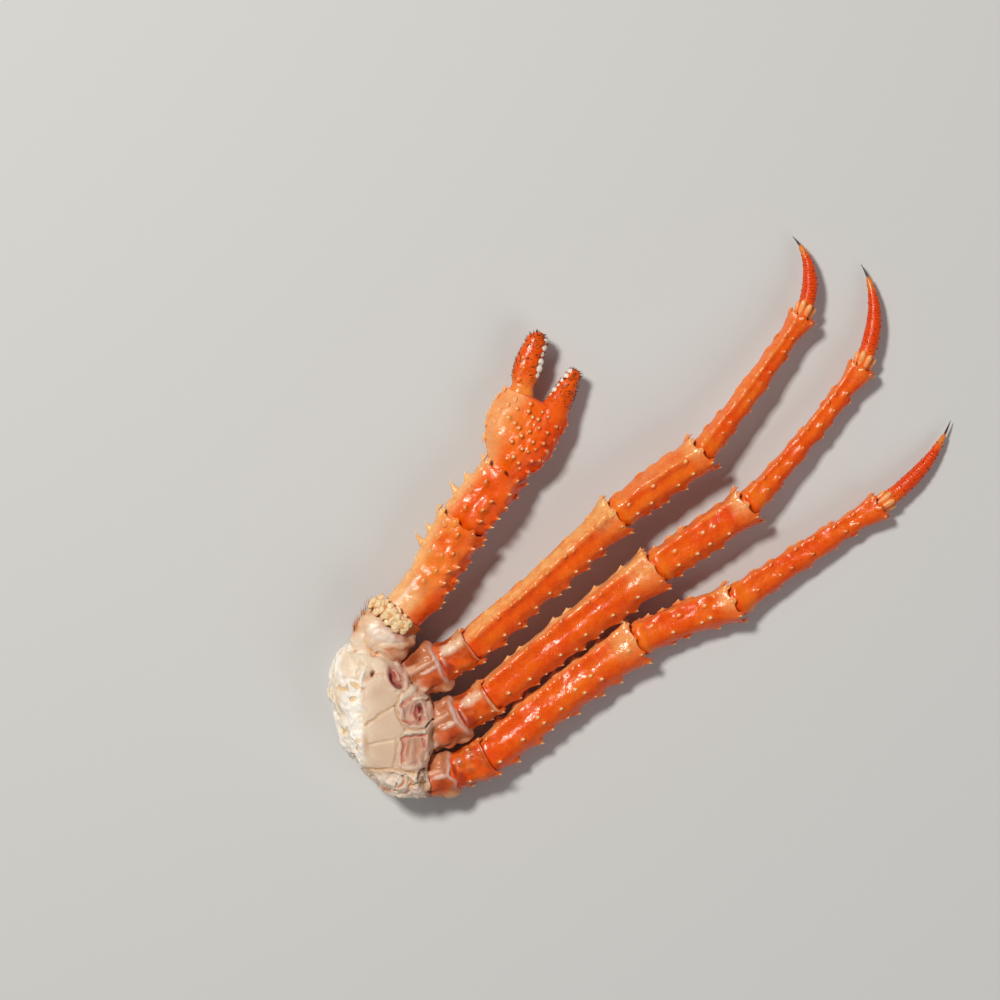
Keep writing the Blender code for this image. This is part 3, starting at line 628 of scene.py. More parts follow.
def row_places(count, first, last, rng):
    """Places of a row, each up to a third of a gap off the even one."""
    gap = (last - first) / max(1, count - 1)
    return np.linspace(first, last, count) + gap * rng.uniform(-0.33, 0.33, count)


def patch_places(count, places, angles, rng):
    """Places and angles spread over a patch: of several tries, each is the farthest from those before."""
    chosen = []
    for _ in range(count):
        tries = rng.uniform(0.0, 1.0, (PATCH_TRIES, 2))
        gaps = [min((np.hypot(*(a - b)) for b in chosen), default=0.0) for a in tries]
        chosen.append(tries[int(np.argmax(gaps))])
    for x, y in chosen:
        yield places[0] + (places[1] - places[0]) * x, angles[0] + (angles[1] - angles[0]) * y


def make_spines(name, kind, rng, collar=True):
    """All spines of a segment, each a little off its row and of its own size."""
    spines = []
    for form, count, first, last, angle, height in SPINE_ROWS.get(name, []) + SPINE_ROWS.get(kind, []):
        for t in row_places(count, first, last, rng):
            spines.append(Spine(form, t, angle + rng.uniform(-5.0, 5.0), height * rng.uniform(0.80, 1.2)))
    for form, count, places, angles, height in SPINE_PATCHES.get(name, []):
        for t, angle in patch_places(count, places, angles, rng):
            spines.append(Spine(form, t, angle, height * rng.uniform(0.62, 1.3)))
    if collar:
        for angle, height, _ in COLLARS.get(kind, []):
            spines.append(Spine("collar", COLLAR_PLACE, angle, height * rng.uniform(0.85, 1.15)))
    return spines


# ---------------------------------------------------------------- the grid of a segment
# Rows before a segment and past its rim: how far in and how far forward each is.
NECK = ((0.9, -3.2), (0.6, -1.2))
RIM = ((0.35, 0.25), (1.1, 0.2), (1.5, -0.8), (1.8, -2.4), (2.4, -3.4))
COXA_RIM = ((0.8, 0.8), (2.0, 1.3), (3.4, 1.5), (4.8, 1.3), (6.2, 0.8))


def segment_rows(count, past_rim=()):
    """Rows of a segment's grid: how far along each is, how far in and how far forward."""
    neck = [(0.0, *row) for row in NECK]
    even = [(t, 0.0, 0.0) for t in np.linspace(0.0, 1.0, count)]
    rim = [(1.0, *row) for row in past_rim]
    return np.array(neck + even + rim).T


def rim_reach(kind, angle):
    """How far a rim's lobes reach forward."""
    reach = np.zeros(np.shape(angle))
    for at, _, forward in COLLARS.get(kind, []):
        reach = reach + forward * bell(wrapped(angle - at) / 15.0)
    return reach


def rim_shift(shell, kind, t, angle):
    """How far the rim's lobes push the last few millimetres of a segment forward."""
    reach = rim_reach(kind, angle)
    turn = np.radians(angle)
    around = np.stack((2.2 * np.cos(turn), 2.2 * np.sin(turn), 0.0 * turn), axis=-1)
    reach = reach + (1.5 if kind == "coxa" else 0.45) * noise(around, 1.0, shell.length)
    return reach * smooth((t - 1.0) * shell.length / 7.0 + 1.0)


def add_spines(body, shell, spines, tint, rim_kind=None):
    """Grows the spines out of a shell. Swellings lift their feet, and a rim's lobes shift them forward."""
    for spine in spines:
        t, angle = np.array([spine.t]), np.array([spine.angle])
        shift = rim_shift(shell, rim_kind, t, angle) if rim_kind else 0.0
        foot, out = shell.surface(t, angle, 0.0, shift)
        lifted = sum(other.mound(shell, t, angle) for other in spines)
        foot = foot[0] + out[0] * (lifted[0] * 0.9 - 0.12)
        rings = spine_rings(foot, out[0], shell.facing(t)[0], spine)
        body.tube(rings, spine_colours(spine, tint(t, angle, foot[None])[0]), SPINE_MOTTLE)


def shell_relief(shell, kind, t, points, rough, seed):
    """Unevenness of a shell, the roll of its rim, and the knuckle past the seam of the outer segments."""
    bony = kind == "coxa"
    lift = 0.60 * rough * noise(points, 6.0 if bony else 10.0, seed)
    lift = lift + 0.34 * rough * noise(warp(points), 4.4, seed + 1.0)
    lift = lift + 0.15 * rough * noise(warp(points), 2.2, seed + 2.0)
    lift = lift + (-0.6 if bony else 0.4) * bell((1.0 - t) * shell.length / 1.6)
    if kind in ("carpus", "propodus"):
        past_seam = t * shell.length
        lift = lift + 0.8 * bell((past_seam - 5.0) / 3.0) - 1.0 * bell(past_seam / 2.2)
    return lift


def add_shell(body, shell, kind, spines, tint, rough, seed, marks=(), spots=(), paleness=1.0):
    """The grid of a segment: neck, shell, rim and cup, then its spines."""
    bony = kind == "coxa"
    sides = int(2.0 * math.pi * shell.half_width(np.array(0.5)) / GRID)
    rows = max(24, int(shell.length / GRID)) + 1
    t, shrink, shift = segment_rows(rows, COXA_RIM if bony else RIM)
    grid_t, grid_a = np.meshgrid(t, turns(sides), indexing="ij")
    grid_shrink = np.repeat(shrink[:, None], sides, axis=1)
    grid_shift = shift[:, None] + rim_shift(shell, kind, grid_t, grid_a)
    points, outward = shell.surface(grid_t, grid_a, grid_shrink, grid_shift)
    top = smooth((outward[..., 2] + 0.15) / 0.4)
    colours, marked = add_marks(points, tint(grid_t, grid_a, points), marks, top)
    colours, spotted = add_spots(shell, grid_t, grid_a, colours, spots, int(seed), paleness)
    lift = shell_relief(shell, kind, grid_t, points, rough, seed) + marked + spotted
    for spine in spines:
        swelling = spine.mound(shell, grid_t, grid_a)
        lift = lift + swelling
        # Each swelling is painted honey towards its top: partly the shell's own paler tone round its spines
        # and partly a painted highlight.
        glow = np.clip(swelling / (1.3 * spine.swelling), 0.0, 1.0) ** 1.5
        colours = mix(colours, HONEY, (0.14 if spine.form == "horn" else 0.26) * glow)
    on_shell = grid_shrink < (9.0 if bony else 2.0)
    lift = lift * smooth(grid_t * shell.length / 3.0) * on_shell
    cup = slice(-2 if bony else -3, None)
    colours[cup] = mix(colours[cup], COXA_CUP if bony else SEAM, 0.9)
    colours[:len(NECK)] = mix(colours[:len(NECK)], SEAM, 0.7)
    body.tube(points + outward * lift[..., None], colours)
    add_spines(body, shell, spines, tint, kind)


# ---------------------------------------------------------------- features of the shoulder and coxae
def line_distance(xy, line):
    """Distance of each point from a run of straight lines."""
    best = np.full(xy.shape[:-1], 1e9)
    for a, b in zip(np.array(line), np.array(line)[1:]):
        ab = b - a
        share = np.clip(((xy - a) @ ab) / (ab @ ab), 0.0, 1.0)
        best = np.minimum(best, np.linalg.norm(xy - a - share[..., None] * ab, axis=-1))
    return best


def oval(u, v, heading, length, width):
    """A round or oval feature seen from above: its middle from the shoulder's middle and its half sizes."""
    def reach(xy):
        away = xy - SHOULDER_MIDDLE - (u, v)
        ahead = heading_vector(heading)[:2]
        aside = np.array((-ahead[1], ahead[0]))
        return np.hypot(away @ ahead / length, away @ aside / width)
    return reach


def arc(start, end, bulge, width):
    """A curved seam, fold or lip seen from above: its ends, how far it bows left, and its half width."""
    def reach(xy):
        a, b = np.array(start, float), np.array(end, float)
        ahead = unit(b - a)
        u = np.linspace(0.0, 1.0, 9)[:, None]
        line = a + (b - a) * u + np.array((-ahead[1], ahead[0])) * (4.0 * bulge * u * (1.0 - u))
        return line_distance(xy - SHOULDER_MIDDLE, line) / width
    return reach


def add_marks(points, colours, marks, strength):
    """Shapes and paints features seen from above. Returns the colours and how far each point is lifted."""
    waver = np.stack((noise(points, 2.6, 50.0), noise(points, 2.6, 51.0)), axis=-1)
    waver = 0.60 * waver + 0.70 * np.stack((noise(points, 5.2, 56.0), noise(points, 5.2, 57.0)), axis=-1)
    xy = points[..., :2] + waver
    worn = 0.72 + 0.42 * noise(points, 2.2, 58.0)
    lift = np.zeros(points.shape[:-1])
    for reach, rise, colour, share in marks:
        away = reach(xy)
        lift = lift + rise * strength * (1.0 - smooth((away - 0.35) / 1.0))
        faded = np.clip(share * worn, 0.0, 1.0) * strength
        colours = mix(colours, colour, faded * (1.0 - smooth((away - 0.40) / 0.95)))
    return colours, lift


# Smooth plates of the breast, by their corners from the shoulder's middle.
PLATES = [
    [
        (-10.5, 21.5), (-6.0, 24.5), (1.0, 26.0), (4.0, 19.0),
        (10.0, 15.5), (8.0, 10.0), (-0.5, 4.5), (-10.0, -1.5),
    ],
    [(-9.0, -3.5), (0.5, 3.0), (7.5, 7.5), (9.5, 2.0), (13.0, -5.0), (10.5, -9.5), (-7.5, -13.0)],
    [(-7.0, -15.0), (7.5, -12.0), (8.5, -22.0), (5.0, -27.5), (-7.0, -28.5)],
    [(-22.0, 41.0), (-8.5, 39.5), (-10.5, 31.0), (-14.0, 25.0), (-23.0, 25.5), (-25.0, 34.0)],
    [(-2.0, 39.5), (1.5, 35.0), (2.0, 30.0), (-1.5, 27.5), (-4.0, 30.5), (-5.5, 34.0)],
]
FIRST_OPENING = [
    (oval(8.5, 26.5, -59, 10.0, 6.2), -0.3, MEMBRANE, 0.70),
    (arc((3.0, 31.0), (8.0, 18.5), -1.4, 1.5), 0.9, LIP, 0.65),
    (arc((9.0, 34.5), (14.5, 20.5), 2.2, 1.6), 1.0, LIP, 0.65),
    (arc((11.0, 31.5), (12.5, 24.0), 1.0, 0.9), -0.7, RAW, 0.35),
    (oval(8.0, 26.0, -59, 8.0, 3.7), -2.4, RAW, 0.97),
    # The deepest part of the opening is maroon: partly raw flesh and partly painted shade.
    (arc((5.0, 27.5), (11.0, 19.8), -0.8, 1.1), -1.6, MAROON, 0.95),
    (arc((7.0, 30.0), (10.8, 24.0), 0.4, 0.8), 1.5, LIP, 0.70),
]
SECOND_OPENING = [
    (oval(19.0, 5.0, -25, 9.8, 8.0), -0.8, MEMBRANE, 0.85),
    (oval(17.0, 4.5, 70, 5.4, 4.6), -1.4, (0.64, 0.40, 0.29), 0.85),
    (arc((11.0, 11.5), (15.5, -2.0), -1.8, 1.4), 1.0, LIP, 0.75),
    (arc((15.5, -2.5), (29.0, -0.5), -1.8, 1.5), 1.0, LIP, 0.80),
    (arc((10.5, 12.0), (19.0, 20.0), 0.0, 1.9), 0.7, WHITE, 0.55),
    (arc((11.5, 8.8), (18.5, 13.0), 0.6, 1.1), -0.5, (0.66, 0.13, 0.05), 0.75),
    (arc((17.5, 13.5), (21.0, 18.0), 0.0, 1.5), -0.3, (0.66, 0.20, 0.09), 0.60),
    (arc((18.5, 13.0), (26.5, 13.2), 0.5, 0.9), 1.1, WHITE, 0.85),
    (oval(22.0, 5.5, 100, 6.0, 3.6), -1.7, RAW, 0.95),
    # The deepest part of the opening is maroon: partly raw flesh and partly painted shade.
    (arc((23.0, 9.5), (24.0, 1.0), 0.6, 1.1), -1.2, MAROON, 0.95),
    (arc((20.3, 10.0), (20.0, 1.5), -0.4, 0.8), 0.9, (0.58, 0.20, 0.15), 0.80),
    (arc((13.5, -0.3), (25.0, 0.8), -1.6, 1.1), -0.9, (0.50, 0.06, 0.03), 0.90),
    (oval(23.8, 3.4, 90, 1.3, 0.9), 1.2, CREAM, 0.90),
    (oval(31.2, 6.5, 95, 6.2, 3.6), 1.2, (0.76, 0.38, 0.24), 0.80),
    (oval(28.0, 8.5, 95, 4.0, 1.4), 0.6, LIP, 0.70),
]
THIRD_OPENING = [
    (oval(19.0, -17.5, 90, 10.0, 9.0), -0.5, MEMBRANE, 0.80),
    (arc((15.0, -7.4), (25.5, -6.8), 1.0, 1.3), 1.2, WHITE, 0.80),
    (arc((10.8, -12.0), (11.0, -26.0), 0.5, 1.2), 0.7, LIP, 0.60),
    (arc((27.0, -9.5), (26.8, -23.5), 0.4, 1.3), 0.9, LIP, 0.75),
    (arc((12.0, -27.0), (26.0, -26.2), -1.0, 1.5), 0.9, LIP, 0.65),
    (oval(19.6, -17.3, 90, 7.2, 5.0), -1.7, (0.66, 0.30, 0.18), 0.90),
    (arc((19.0, -12.5), (18.8, -21.5), 0.0, 1.6), 0.5, (0.74, 0.48, 0.34), 0.70),
    (arc((11.5, -11.2), (26.0, -8.8), 0.8, 0.9), -0.9, (0.60, 0.06, 0.03), 0.90),
    (arc((13.4, -12.0), (13.2, -23.8), -0.3, 1.3), -0.8, (0.72, 0.13, 0.03), 0.90),
    (arc((25.0, -11.0), (25.8, -16.5), 0.6, 0.9), -0.8, (0.62, 0.09, 0.05), 0.85),
    (oval(19.2, -25.0, 10, 3.2, 0.9), -0.8, (0.36, 0.05, 0.05), 0.65),
]
SEAMS = [
    (arc((-9.5, -2.5), (7.3, 9.0), 0.6, 0.9), -0.35, SEAM_TAN, 0.65),
    (arc((7.3, 9.0), (18.2, 22.5), 0.8, 0.9), -0.50, SEAM_TAN, 0.80),
    (arc((8.3, 8.8), (14.0, -5.0), -0.8, 0.9), -0.40, SEAM_TAN, 0.70),
    (arc((-8.0, -14.2), (9.0, -10.6), 0.2, 0.8), -0.15, SEAM_TAN, 0.35),
    (arc((14.0, -5.6), (25.5, -4.4), 0.5, 0.8), -0.30, SEAM_TAN, 0.60),
    (arc((9.0, -12.0), (6.0, -28.6), 0.8, 0.9), -0.30, SEAM_TAN, 0.60),
    (arc((-12.5, -29.6), (21.5, -31.2), 1.3, 0.9), -0.55, (0.58, 0.31, 0.11), 0.80),
    (arc((-6.8, 41.5), (-2.8, 39.4), -0.8, 1.2), -0.90, OCHRE, 0.80),
    (arc((-2.4, 40.2), (3.0, 37.5), 0.8, 0.9), -0.90, (0.50, 0.22, 0.08), 0.85),
    (arc((-10.0, 24.2), (-0.5, 27.8), 0.6, 0.9), -0.20, (0.80, 0.40, 0.28), 0.70),
    (arc((-11.4, 19.5), (-11.2, 13.0), 0.0, 1.2), -0.40, (0.66, 0.48, 0.32), 0.60),
]
# Holes and gaps between the lumps, sunk in and painted dark brown to near black: the dark is painted shade.
# The one ochre spot is the meat's own colour.
HOLES = [
    (oval(-5.9, 28.6, 80, 2.0, 1.4), -1.8, (0.30, 0.10, 0.04), 0.80),
    (oval(-5.8, 28.0, 80, 1.2, 0.9), -1.6, MAROON, 0.95),
    (oval(-11.3, 34.2, -30, 2.0, 1.1), -0.4, OCHRE_DEEP, 0.75),
    (arc((17.3, 25.8), (18.8, 22.8), 0.3, 1.2), -1.4, (0.34, 0.10, 0.02), 0.90),
    (arc((26.3, -3.4), (31.5, 0.4), 0.8, 0.8), -1.5, CLEFT_SHADE, 0.90),
    (arc((26.0, 12.0), (28.5, 11.6), 0.0, 0.8), -0.9, (0.46, 0.07, 0.02), 0.80),
    (oval(30.8, -9.8, 95, 4.6, 2.6), -1.2, (0.42, 0.19, 0.08), 0.85),
    (arc((29.0, -19.6), (37.6, -18.2), 1.0, 1.0), -2.2, CLEFT_SHADE, 0.95),
    (arc((21.7, -34.0), (26.0, -29.8), 1.3, 1.0), -1.8, CLEFT_SHADE, 0.95),
    (arc((23.2, -35.0), (27.0, -43.0), 0.0, 2.4), -1.3, (0.42, 0.18, 0.07), 0.85),
]
LUMPS = [
    (oval(30.0, -2.6, 20, 2.6, 2.2), 0.9, (0.78, 0.56, 0.40), 0.75),
    (oval(37.0, -11.5, 92, 7.4, 4.0), 1.5, (0.74, 0.48, 0.33), 0.85),
    (oval(31.5, -24.0, 100, 6.2, 4.2), 1.3, (0.70, 0.31, 0.16), 0.85),
    (oval(31.5, -38.5, 95, 7.2, 5.0), 1.5, (0.66, 0.33, 0.18), 0.85),
    (oval(25.0, -31.6, 20, 2.4, 2.0), 0.9, (0.78, 0.58, 0.42), 0.75),
    (oval(20.5, -42.5, 100, 5.2, 3.0), 0.8, LIP, 0.75),
]
LOWER_END = [
    (arc((6.0, -30.0), (20.0, -36.0), 1.3, 1.2), 1.3, WHITE, 0.85),
    (arc((-3.0, -43.0), (22.5, -46.5), -1.8, 1.9), 0.8, (0.84, 0.66, 0.54), 0.75),
    (arc((-0.5, -40.5), (4.0, -42.0), 0.0, 1.3), -0.5, (0.78, 0.26, 0.05), 0.80),
    (arc((11.6, -32.5), (9.8, -40.0), 1.6, 0.9), -0.8, (0.60, 0.20, 0.05), 0.85),
    (arc((17.6, -37.2), (14.5, -43.5), 0.5, 1.3), -0.6, (0.66, 0.23, 0.09), 0.80),
]
SHOULDER_MARKS = FIRST_OPENING + SECOND_OPENING + THIRD_OPENING + SEAMS + LUMPS + HOLES + LOWER_END
CLAW_COXA_MARKS = [
    (arc((-22.0, 44.0), (-11.0, 61.0), 1.2, 4.2), 0.3, (0.86, 0.34, 0.09), 0.92),
    (oval(-15.5, 46.5, 60, 6.0, 4.2), 0.9, (0.88, 0.76, 0.62), 0.85),
    (oval(-7.0, 59.5, 35, 7.5, 4.6), 1.0, (0.88, 0.70, 0.48), 0.85),
    (oval(1.5, 50.5, -22, 12.5, 4.8), 1.2, (0.90, 0.84, 0.76), 0.92),
    (arc((-10.0, 55.0), (-8.6, 42.5), -1.2, 0.9), -0.5, (0.74, 0.48, 0.24), 0.60),
    (oval(12.5, 53.0, 5, 5.6, 3.6), -1.4, (0.66, 0.20, 0.11), 0.90),
    (arc((10.0, 55.5), (15.0, 51.5), 0.8, 0.8), 0.7, (0.74, 0.36, 0.24), 0.70),
    (oval(7.5, 55.0, 15, 2.2, 1.2), 1.2, CREAM, 0.85),
    (oval(18.2, 50.5, 95, 4.2, 2.2), 0.4, (0.80, 0.55, 0.36), 0.85),
    (arc((1.0, 44.0), (20.0, 46.4), -1.2, 1.6), 1.2, (0.82, 0.55, 0.36), 0.85),
    (oval(5.8, 41.2, 0, 4.0, 2.8), -0.3, (0.80, 0.25, 0.08), 0.90),
    (oval(11.5, 39.0, 0, 3.4, 3.2), 0.3, (0.78, 0.52, 0.34), 0.80),
]

# Features on a coxa or basis, by place along it, angle round it and half sizes along and across it:
# then lift, colour and share. Each leg has them a little differently.
# Spots that sink in are painted dark red-brown: partly the coxa's own colour and partly painted shade.
COXA_SPOTS = [
    (0.30, 46.0, 7.0, 5.0, -1.0, (0.30, 0.060, 0.015), 0.85),
    (0.46, 74.0, 8.5, 2.0, 1.9, (0.80, 0.50, 0.34), 0.85),
    (0.28, 108.0, 5.0, 3.4, 0.9, (0.76, 0.48, 0.35), 0.75),
    (0.60, 112.0, 7.5, 6.0, 0.5, (0.66, 0.125, 0.030), 0.95),
    (0.70, 122.0, 3.6, 3.8, -0.6, (0.46, 0.060, 0.012), 0.75),
    (0.56, 156.0, 3.4, 3.4, 0.9, (0.66, 0.18, 0.06), 0.80),
    (0.86, 162.0, 3.2, 3.8, 2.1, (0.74, 0.42, 0.24), 0.90),
    (0.84, 32.0, 2.8, 3.0, 1.4, (0.56, 0.24, 0.11), 0.80),
    (0.14, 138.0, 4.0, 3.2, 1.3, (0.80, 0.58, 0.44), 0.85),
    (0.12, 72.0, 3.6, 3.4, 1.1, (0.76, 0.48, 0.34), 0.80),
    (0.72, 92.0, 6.0, 1.3, 1.2, (0.82, 0.60, 0.50), 0.85),
    (0.44, 134.0, 5.0, 1.1, -1.2, (0.42, 0.060, 0.020), 0.85),
]
BASIS_SPOTS = [
    (0.02, 84.0, 1.4, 6.0, 0.9, LIP, 0.85),
    (0.10, 92.0, 1.0, 5.0, -1.1, (0.36, 0.035, 0.02), 0.85),
    (0.17, 96.0, 0.9, 4.4, 0.7, (0.78, 0.50, 0.40), 0.75),
    (0.24, 128.0, 2.8, 5.8, -0.7, (0.44, 0.045, 0.012), 0.80),
    (0.30, 60.0, 2.2, 3.0, 0.5, (0.62, 0.26, 0.12), 0.60),
    (0.36, 26.0, 5.0, 3.6, -0.4, (0.48, 0.075, 0.012), 0.80),
    (0.50, 64.0, 5.6, 4.0, 0.8, (0.92, 0.76, 0.60), 0.95),
    (0.80, 58.0, 4.0, 3.6, 0.6, (0.92, 0.70, 0.46), 0.90),
    (0.84, 26.0, 3.0, 3.2, 1.2, (0.66, 0.40, 0.20), 0.85),
    (0.62, 132.0, 4.5, 4.0, 0.6, (0.86, 0.15, 0.010), 0.60),
    (0.98, 112.0, 0.8, 7.5, 0.6, (0.88, 0.58, 0.36), 0.85),
]


def add_spots(shell, t, angle, colours, spots, seed, paleness=1.0):
    """Features that each coxa or basis shares, shifted a little and paler or darker from leg to leg."""
    own = np.random.default_rng(seed)
    lift = np.zeros(np.shape(t))
    for at, around, length, width, rise, colour, share in spots:
        ahead = (t - at - own.uniform(-0.04, 0.04)) * shell.length / (length * own.uniform(0.85, 1.2))
        aside = wrapped(angle - around - own.uniform(-7.0, 7.0)) * math.radians(1.0) * shell.half_width(0.5)
        away = np.hypot(ahead, aside / (width * own.uniform(0.85, 1.2)))
        away = away + 0.16 * noise(np.stack((ahead * 2.0, aside, t * 0.0), axis=-1), 1.4, 60.0 + seed)
        lift = lift + rise * (1.0 - smooth((away - 0.35) / 1.0))
        strength = share * (paleness if colour[1] > 0.30 else 1.0)
        colours = mix(colours, colour, strength * (1.0 - smooth((away - 0.55) / 0.75)))
    return colours, lift


# ---------------------------------------------------------------- colours along a shell
# How pale the upper side of each segment is: on the walking legs, partly their own paler tone and partly
# painted light from above and the left.
LEG_PALENESS = {"basis": 0.28, "merus": 0.95, "carpus": 0.42, "propodus": 0.34}
CLAW_PALENESS = {"ischium": 0.20, "merus": 0.80, "carpus": 0.05, "palm": 0.18}


def leg_tint(kind, crest):
    """Colours of a walking leg: paler above the crest, partly as painted light; deep orange below it, redder
    on the far side as painted shade; salmon near the far edge, partly a painted sheen.
    """
    def tint(t, angle, points):
        patch = 0.5 + 0.5 * noise(points, 13.0, 3.0)
        fine = 0.7 * noise(points, 3.0, 4.0) + 0.5 * noise(points, 1.5, 17.0)
        glow = bell(wrapped(angle - crest - 42.0) / 30.0) * smooth(0.4 + 0.9 * noise(points, 16.0, 15.0))
        above = smooth((crest + 10.0 - angle) / 26.0) * (angle < 190.0) + smooth((angle - 322.0) / 20.0)
        lengthwise = np.stack((7.0 * t, angle / 9.0, 0.0 * t), axis=-1)
        streak = 0.5 * noise(points, 5.0, 16.0) + 0.9 * noise(lengthwise, 1.0, crest)
        ridge = bell(wrapped(angle - crest) / 8.0)
        under_crest = bell(wrapped(angle - crest - 17.0) / 7.0)
        edge = bell((angle - 158.0) / 15.0)
        far = smooth((angle - 172.0) / 20.0) * smooth((240.0 - angle) / 40.0)
        start = bell(t * (5.0 if kind == "basis" else 22.0))
        colours = paint(mix(ORANGE, RED, np.clip(0.10 + 0.66 * patch + 0.36 * fine, 0.0, 1.0)), [
            (AMBER_ORANGE, 0.50 * glow),
            # The upper side, which faces the lamp, is peach: partly the shell's own paler tone and partly
            # painted light.
            (PEACH, above * LEG_PALENESS[kind] * np.clip(0.84 + 0.42 * streak + 0.20 * fine, 0.0, 1.0)),
            # Gold along the crest, broken by streaks: partly the crest's own tone and partly a painted
            # highlight streak.
            (CREST_GOLD, 0.65 * ridge * np.clip(0.6 + 1.1 * streak, 0.0, 1.0)),
            # Red just past the crest: partly the shell's own deeper red and partly painted shade beside the
            # ridge.
            (RED, 0.30 * under_crest),
            # Salmon near the far edge: partly the shell's own salmon and partly a painted sheen.
            (SALMON, 0.42 * edge * smooth(0.5 + 0.8 * noise(points, 7.0, 5.0))),
            # Red on the far side, away from the lamp: partly the shell's own deeper red and partly painted
            # shade.
            (RED, 0.5 * far),
            (UNDERSIDE, 0.55 * underneath(angle)),
            (RED, 0.45 * start),
        ])
        if kind in ("carpus", "propodus"):
            # The knuckle past the seam is amber-orange: a painted highlight on its swelling.
            knuckle = bell((t - 0.085) / 0.045) * (angle < 200.0)
            colours = mix(colours, AMBER_ORANGE, 0.6 * knuckle)
        if kind in ("merus", "carpus"):
            # A pale peach patch on the top of the far end: partly the shell's own pale patch and partly a
            # painted highlight.
            ends = smooth((t - 0.83) / 0.12) * bell(wrapped(angle - 66.0) / 44.0)
            colours = mix(colours, PEACH, 0.80 * ends * np.clip(0.8 + 0.5 * fine, 0.0, 1.0))
        if kind == "basis":
            stain = smooth(0.40 + 0.9 * noise(warp(points), 3.6, 6.0))
            tan = smooth(0.2 + noise(points, 2.4, 7.0))
            upper = bell((angle - 70.0) / 45.0)
            colours = paint(colours, [(BASIS_STAIN, 0.66 * stain), (TAN, 0.30 * tan * upper)])
        return colours
    return tint


def claw_tint(kind):
    """Colours of the claw arm: orange, paler on its left as painted light and redder on its right as painted
    shade, both partly its own tones, and pinkish on its right.
    """
    def tint(t, angle, points):
        patch = 0.5 + 0.5 * noise(points, 9.0, 8.0)
        fine = noise(points, 2.6, 9.0)
        pale = np.clip(CLAW_PALENESS[kind] * patch + 0.20 * fine - 0.05, 0.0, 1.0)
        left = smooth((70.0 - angle) / 45.0) * (angle < 200.0) + (angle > 330.0)
        right = smooth((angle - 112.0) / 40.0) * smooth((230.0 - angle) / 30.0)
        colours = paint(mix(CLAW_ORANGE, CLAW_PEACH, pale), [
            # Gold on the left side, towards the lamp, is partly painted light; red on the right side is
            # partly painted shade.
            (CLAW_GOLD, (0.55 if kind == "palm" else 0.75) * left),
            (RED, 0.72 * right),
        ])
        if kind == "carpus":
            colours = mix(colours, CLAW_RED, 0.7 * bell((angle - 92.0) / 36.0))
        pink = bell((angle - 126.0) / 16.0) * smooth(noise(points, 7.0, 10.0) + 0.3)
        colours = paint(colours, [(SALMON, 0.5 * pink), (UNDERSIDE, 0.5 * underneath(angle))])
        if kind == "merus":
            start = smooth((0.46 - t) / 0.35) * smooth((125.0 - angle) / 40.0) * (angle < 200.0)
            line = bell((angle - 58.0 - 10.0 * t) / 5.0) * smooth((0.44 - t) / 0.08) * smooth(t / 0.05)
            colours = paint(colours, [(CLAW_PALE, 0.90 * start), (CLAW_LINE, 0.75 * line)])
        if kind == "palm":
            # A paler patch on the palm's upper left swelling: partly its own peach and partly a painted
            # highlight.
            swelling = bell((angle - 62.0) / 30.0) * bell((t - 0.60) / 0.28)
            colours = mix(colours, CLAW_PEACH, 0.4 * swelling)
        if kind == "ischium":
            bony = smooth(0.70 + 0.7 * noise(points, 5.0, 11.0)) * smooth((122.0 - angle) / 20.0)
            colours = mix(ISCHIUM_BROWN, ISCHIUM_BONE, 0.95 * (bony * (angle > 22.0)))
        return colours
    return tint


def coxa_tint(seed, bony=0.0):
    """Ground colours of a coxa: pinkish tan, browner in its hollows, or bone white where it is bony."""
    def tint(t, angle, points):
        patch = 0.5 + 0.5 * noise(points, 7.0, seed)
        stain = smooth(noise(warp(points), 3.6, seed + 1.0) * 1.3 + 0.1)
        clean = bony * smooth(0.75 + 0.6 * noise(points, 8.0, seed + 2.0)) * smooth((150.0 - angle) / 50.0)
        rim = bell((1.0 - t) * 22.0 / 1.2) * bell(wrapped(angle - 84.0) / 52.0)
        return paint(mix(COXA_BROWN, COXA_TAN, patch), [
            (COXA_STAIN, 0.62 * stain),
            (COXA_BONE, 0.92 * clean),
            (COXA_LIP, 0.85 * rim),
        ])
    return tint


# ---------------------------------------------------------------- materials
def set_inputs(tree, node, inputs):
    """Gives each input its value, or links another node's output to it."""
    for name, value in inputs.items():
        if isinstance(value, bpy.types.NodeSocket):
            tree.links.new(value, node.inputs[name])
        else:
            node.inputs[name].default_value = value


def add_node(tree, kind, inputs):
    node = tree.nodes.new(f"ShaderNode{kind}")
    set_inputs(tree, node, inputs)
    return node


def add_math(tree, operation, first, second):
    """The output of a node that adds, subtracts or multiplies two outputs."""
    node = add_node(tree, "Math", {0: first, 1: second})
    node.operation = operation
    return node.outputs["Value"]


def add_range(tree, value, low, high, start, end):
    """A node that spreads a value from between low and high to between start and end."""
    inputs = {"Value": value, "From Min": low, "From Max": high, "To Min": start, "To Max": end}
    return add_node(tree, "MapRange", inputs)


def add_noise(tree, place, scale, low, high, detail=3.0):
    """A noise texture, as it is and spread between two values."""
    grain = add_node(tree, "TexNoise", {"Vector": place, "Scale": scale, "Detail": detail}).outputs["Fac"]
    return grain, add_range(tree, grain, 0.28, 0.72, low, high).outputs["Result"]


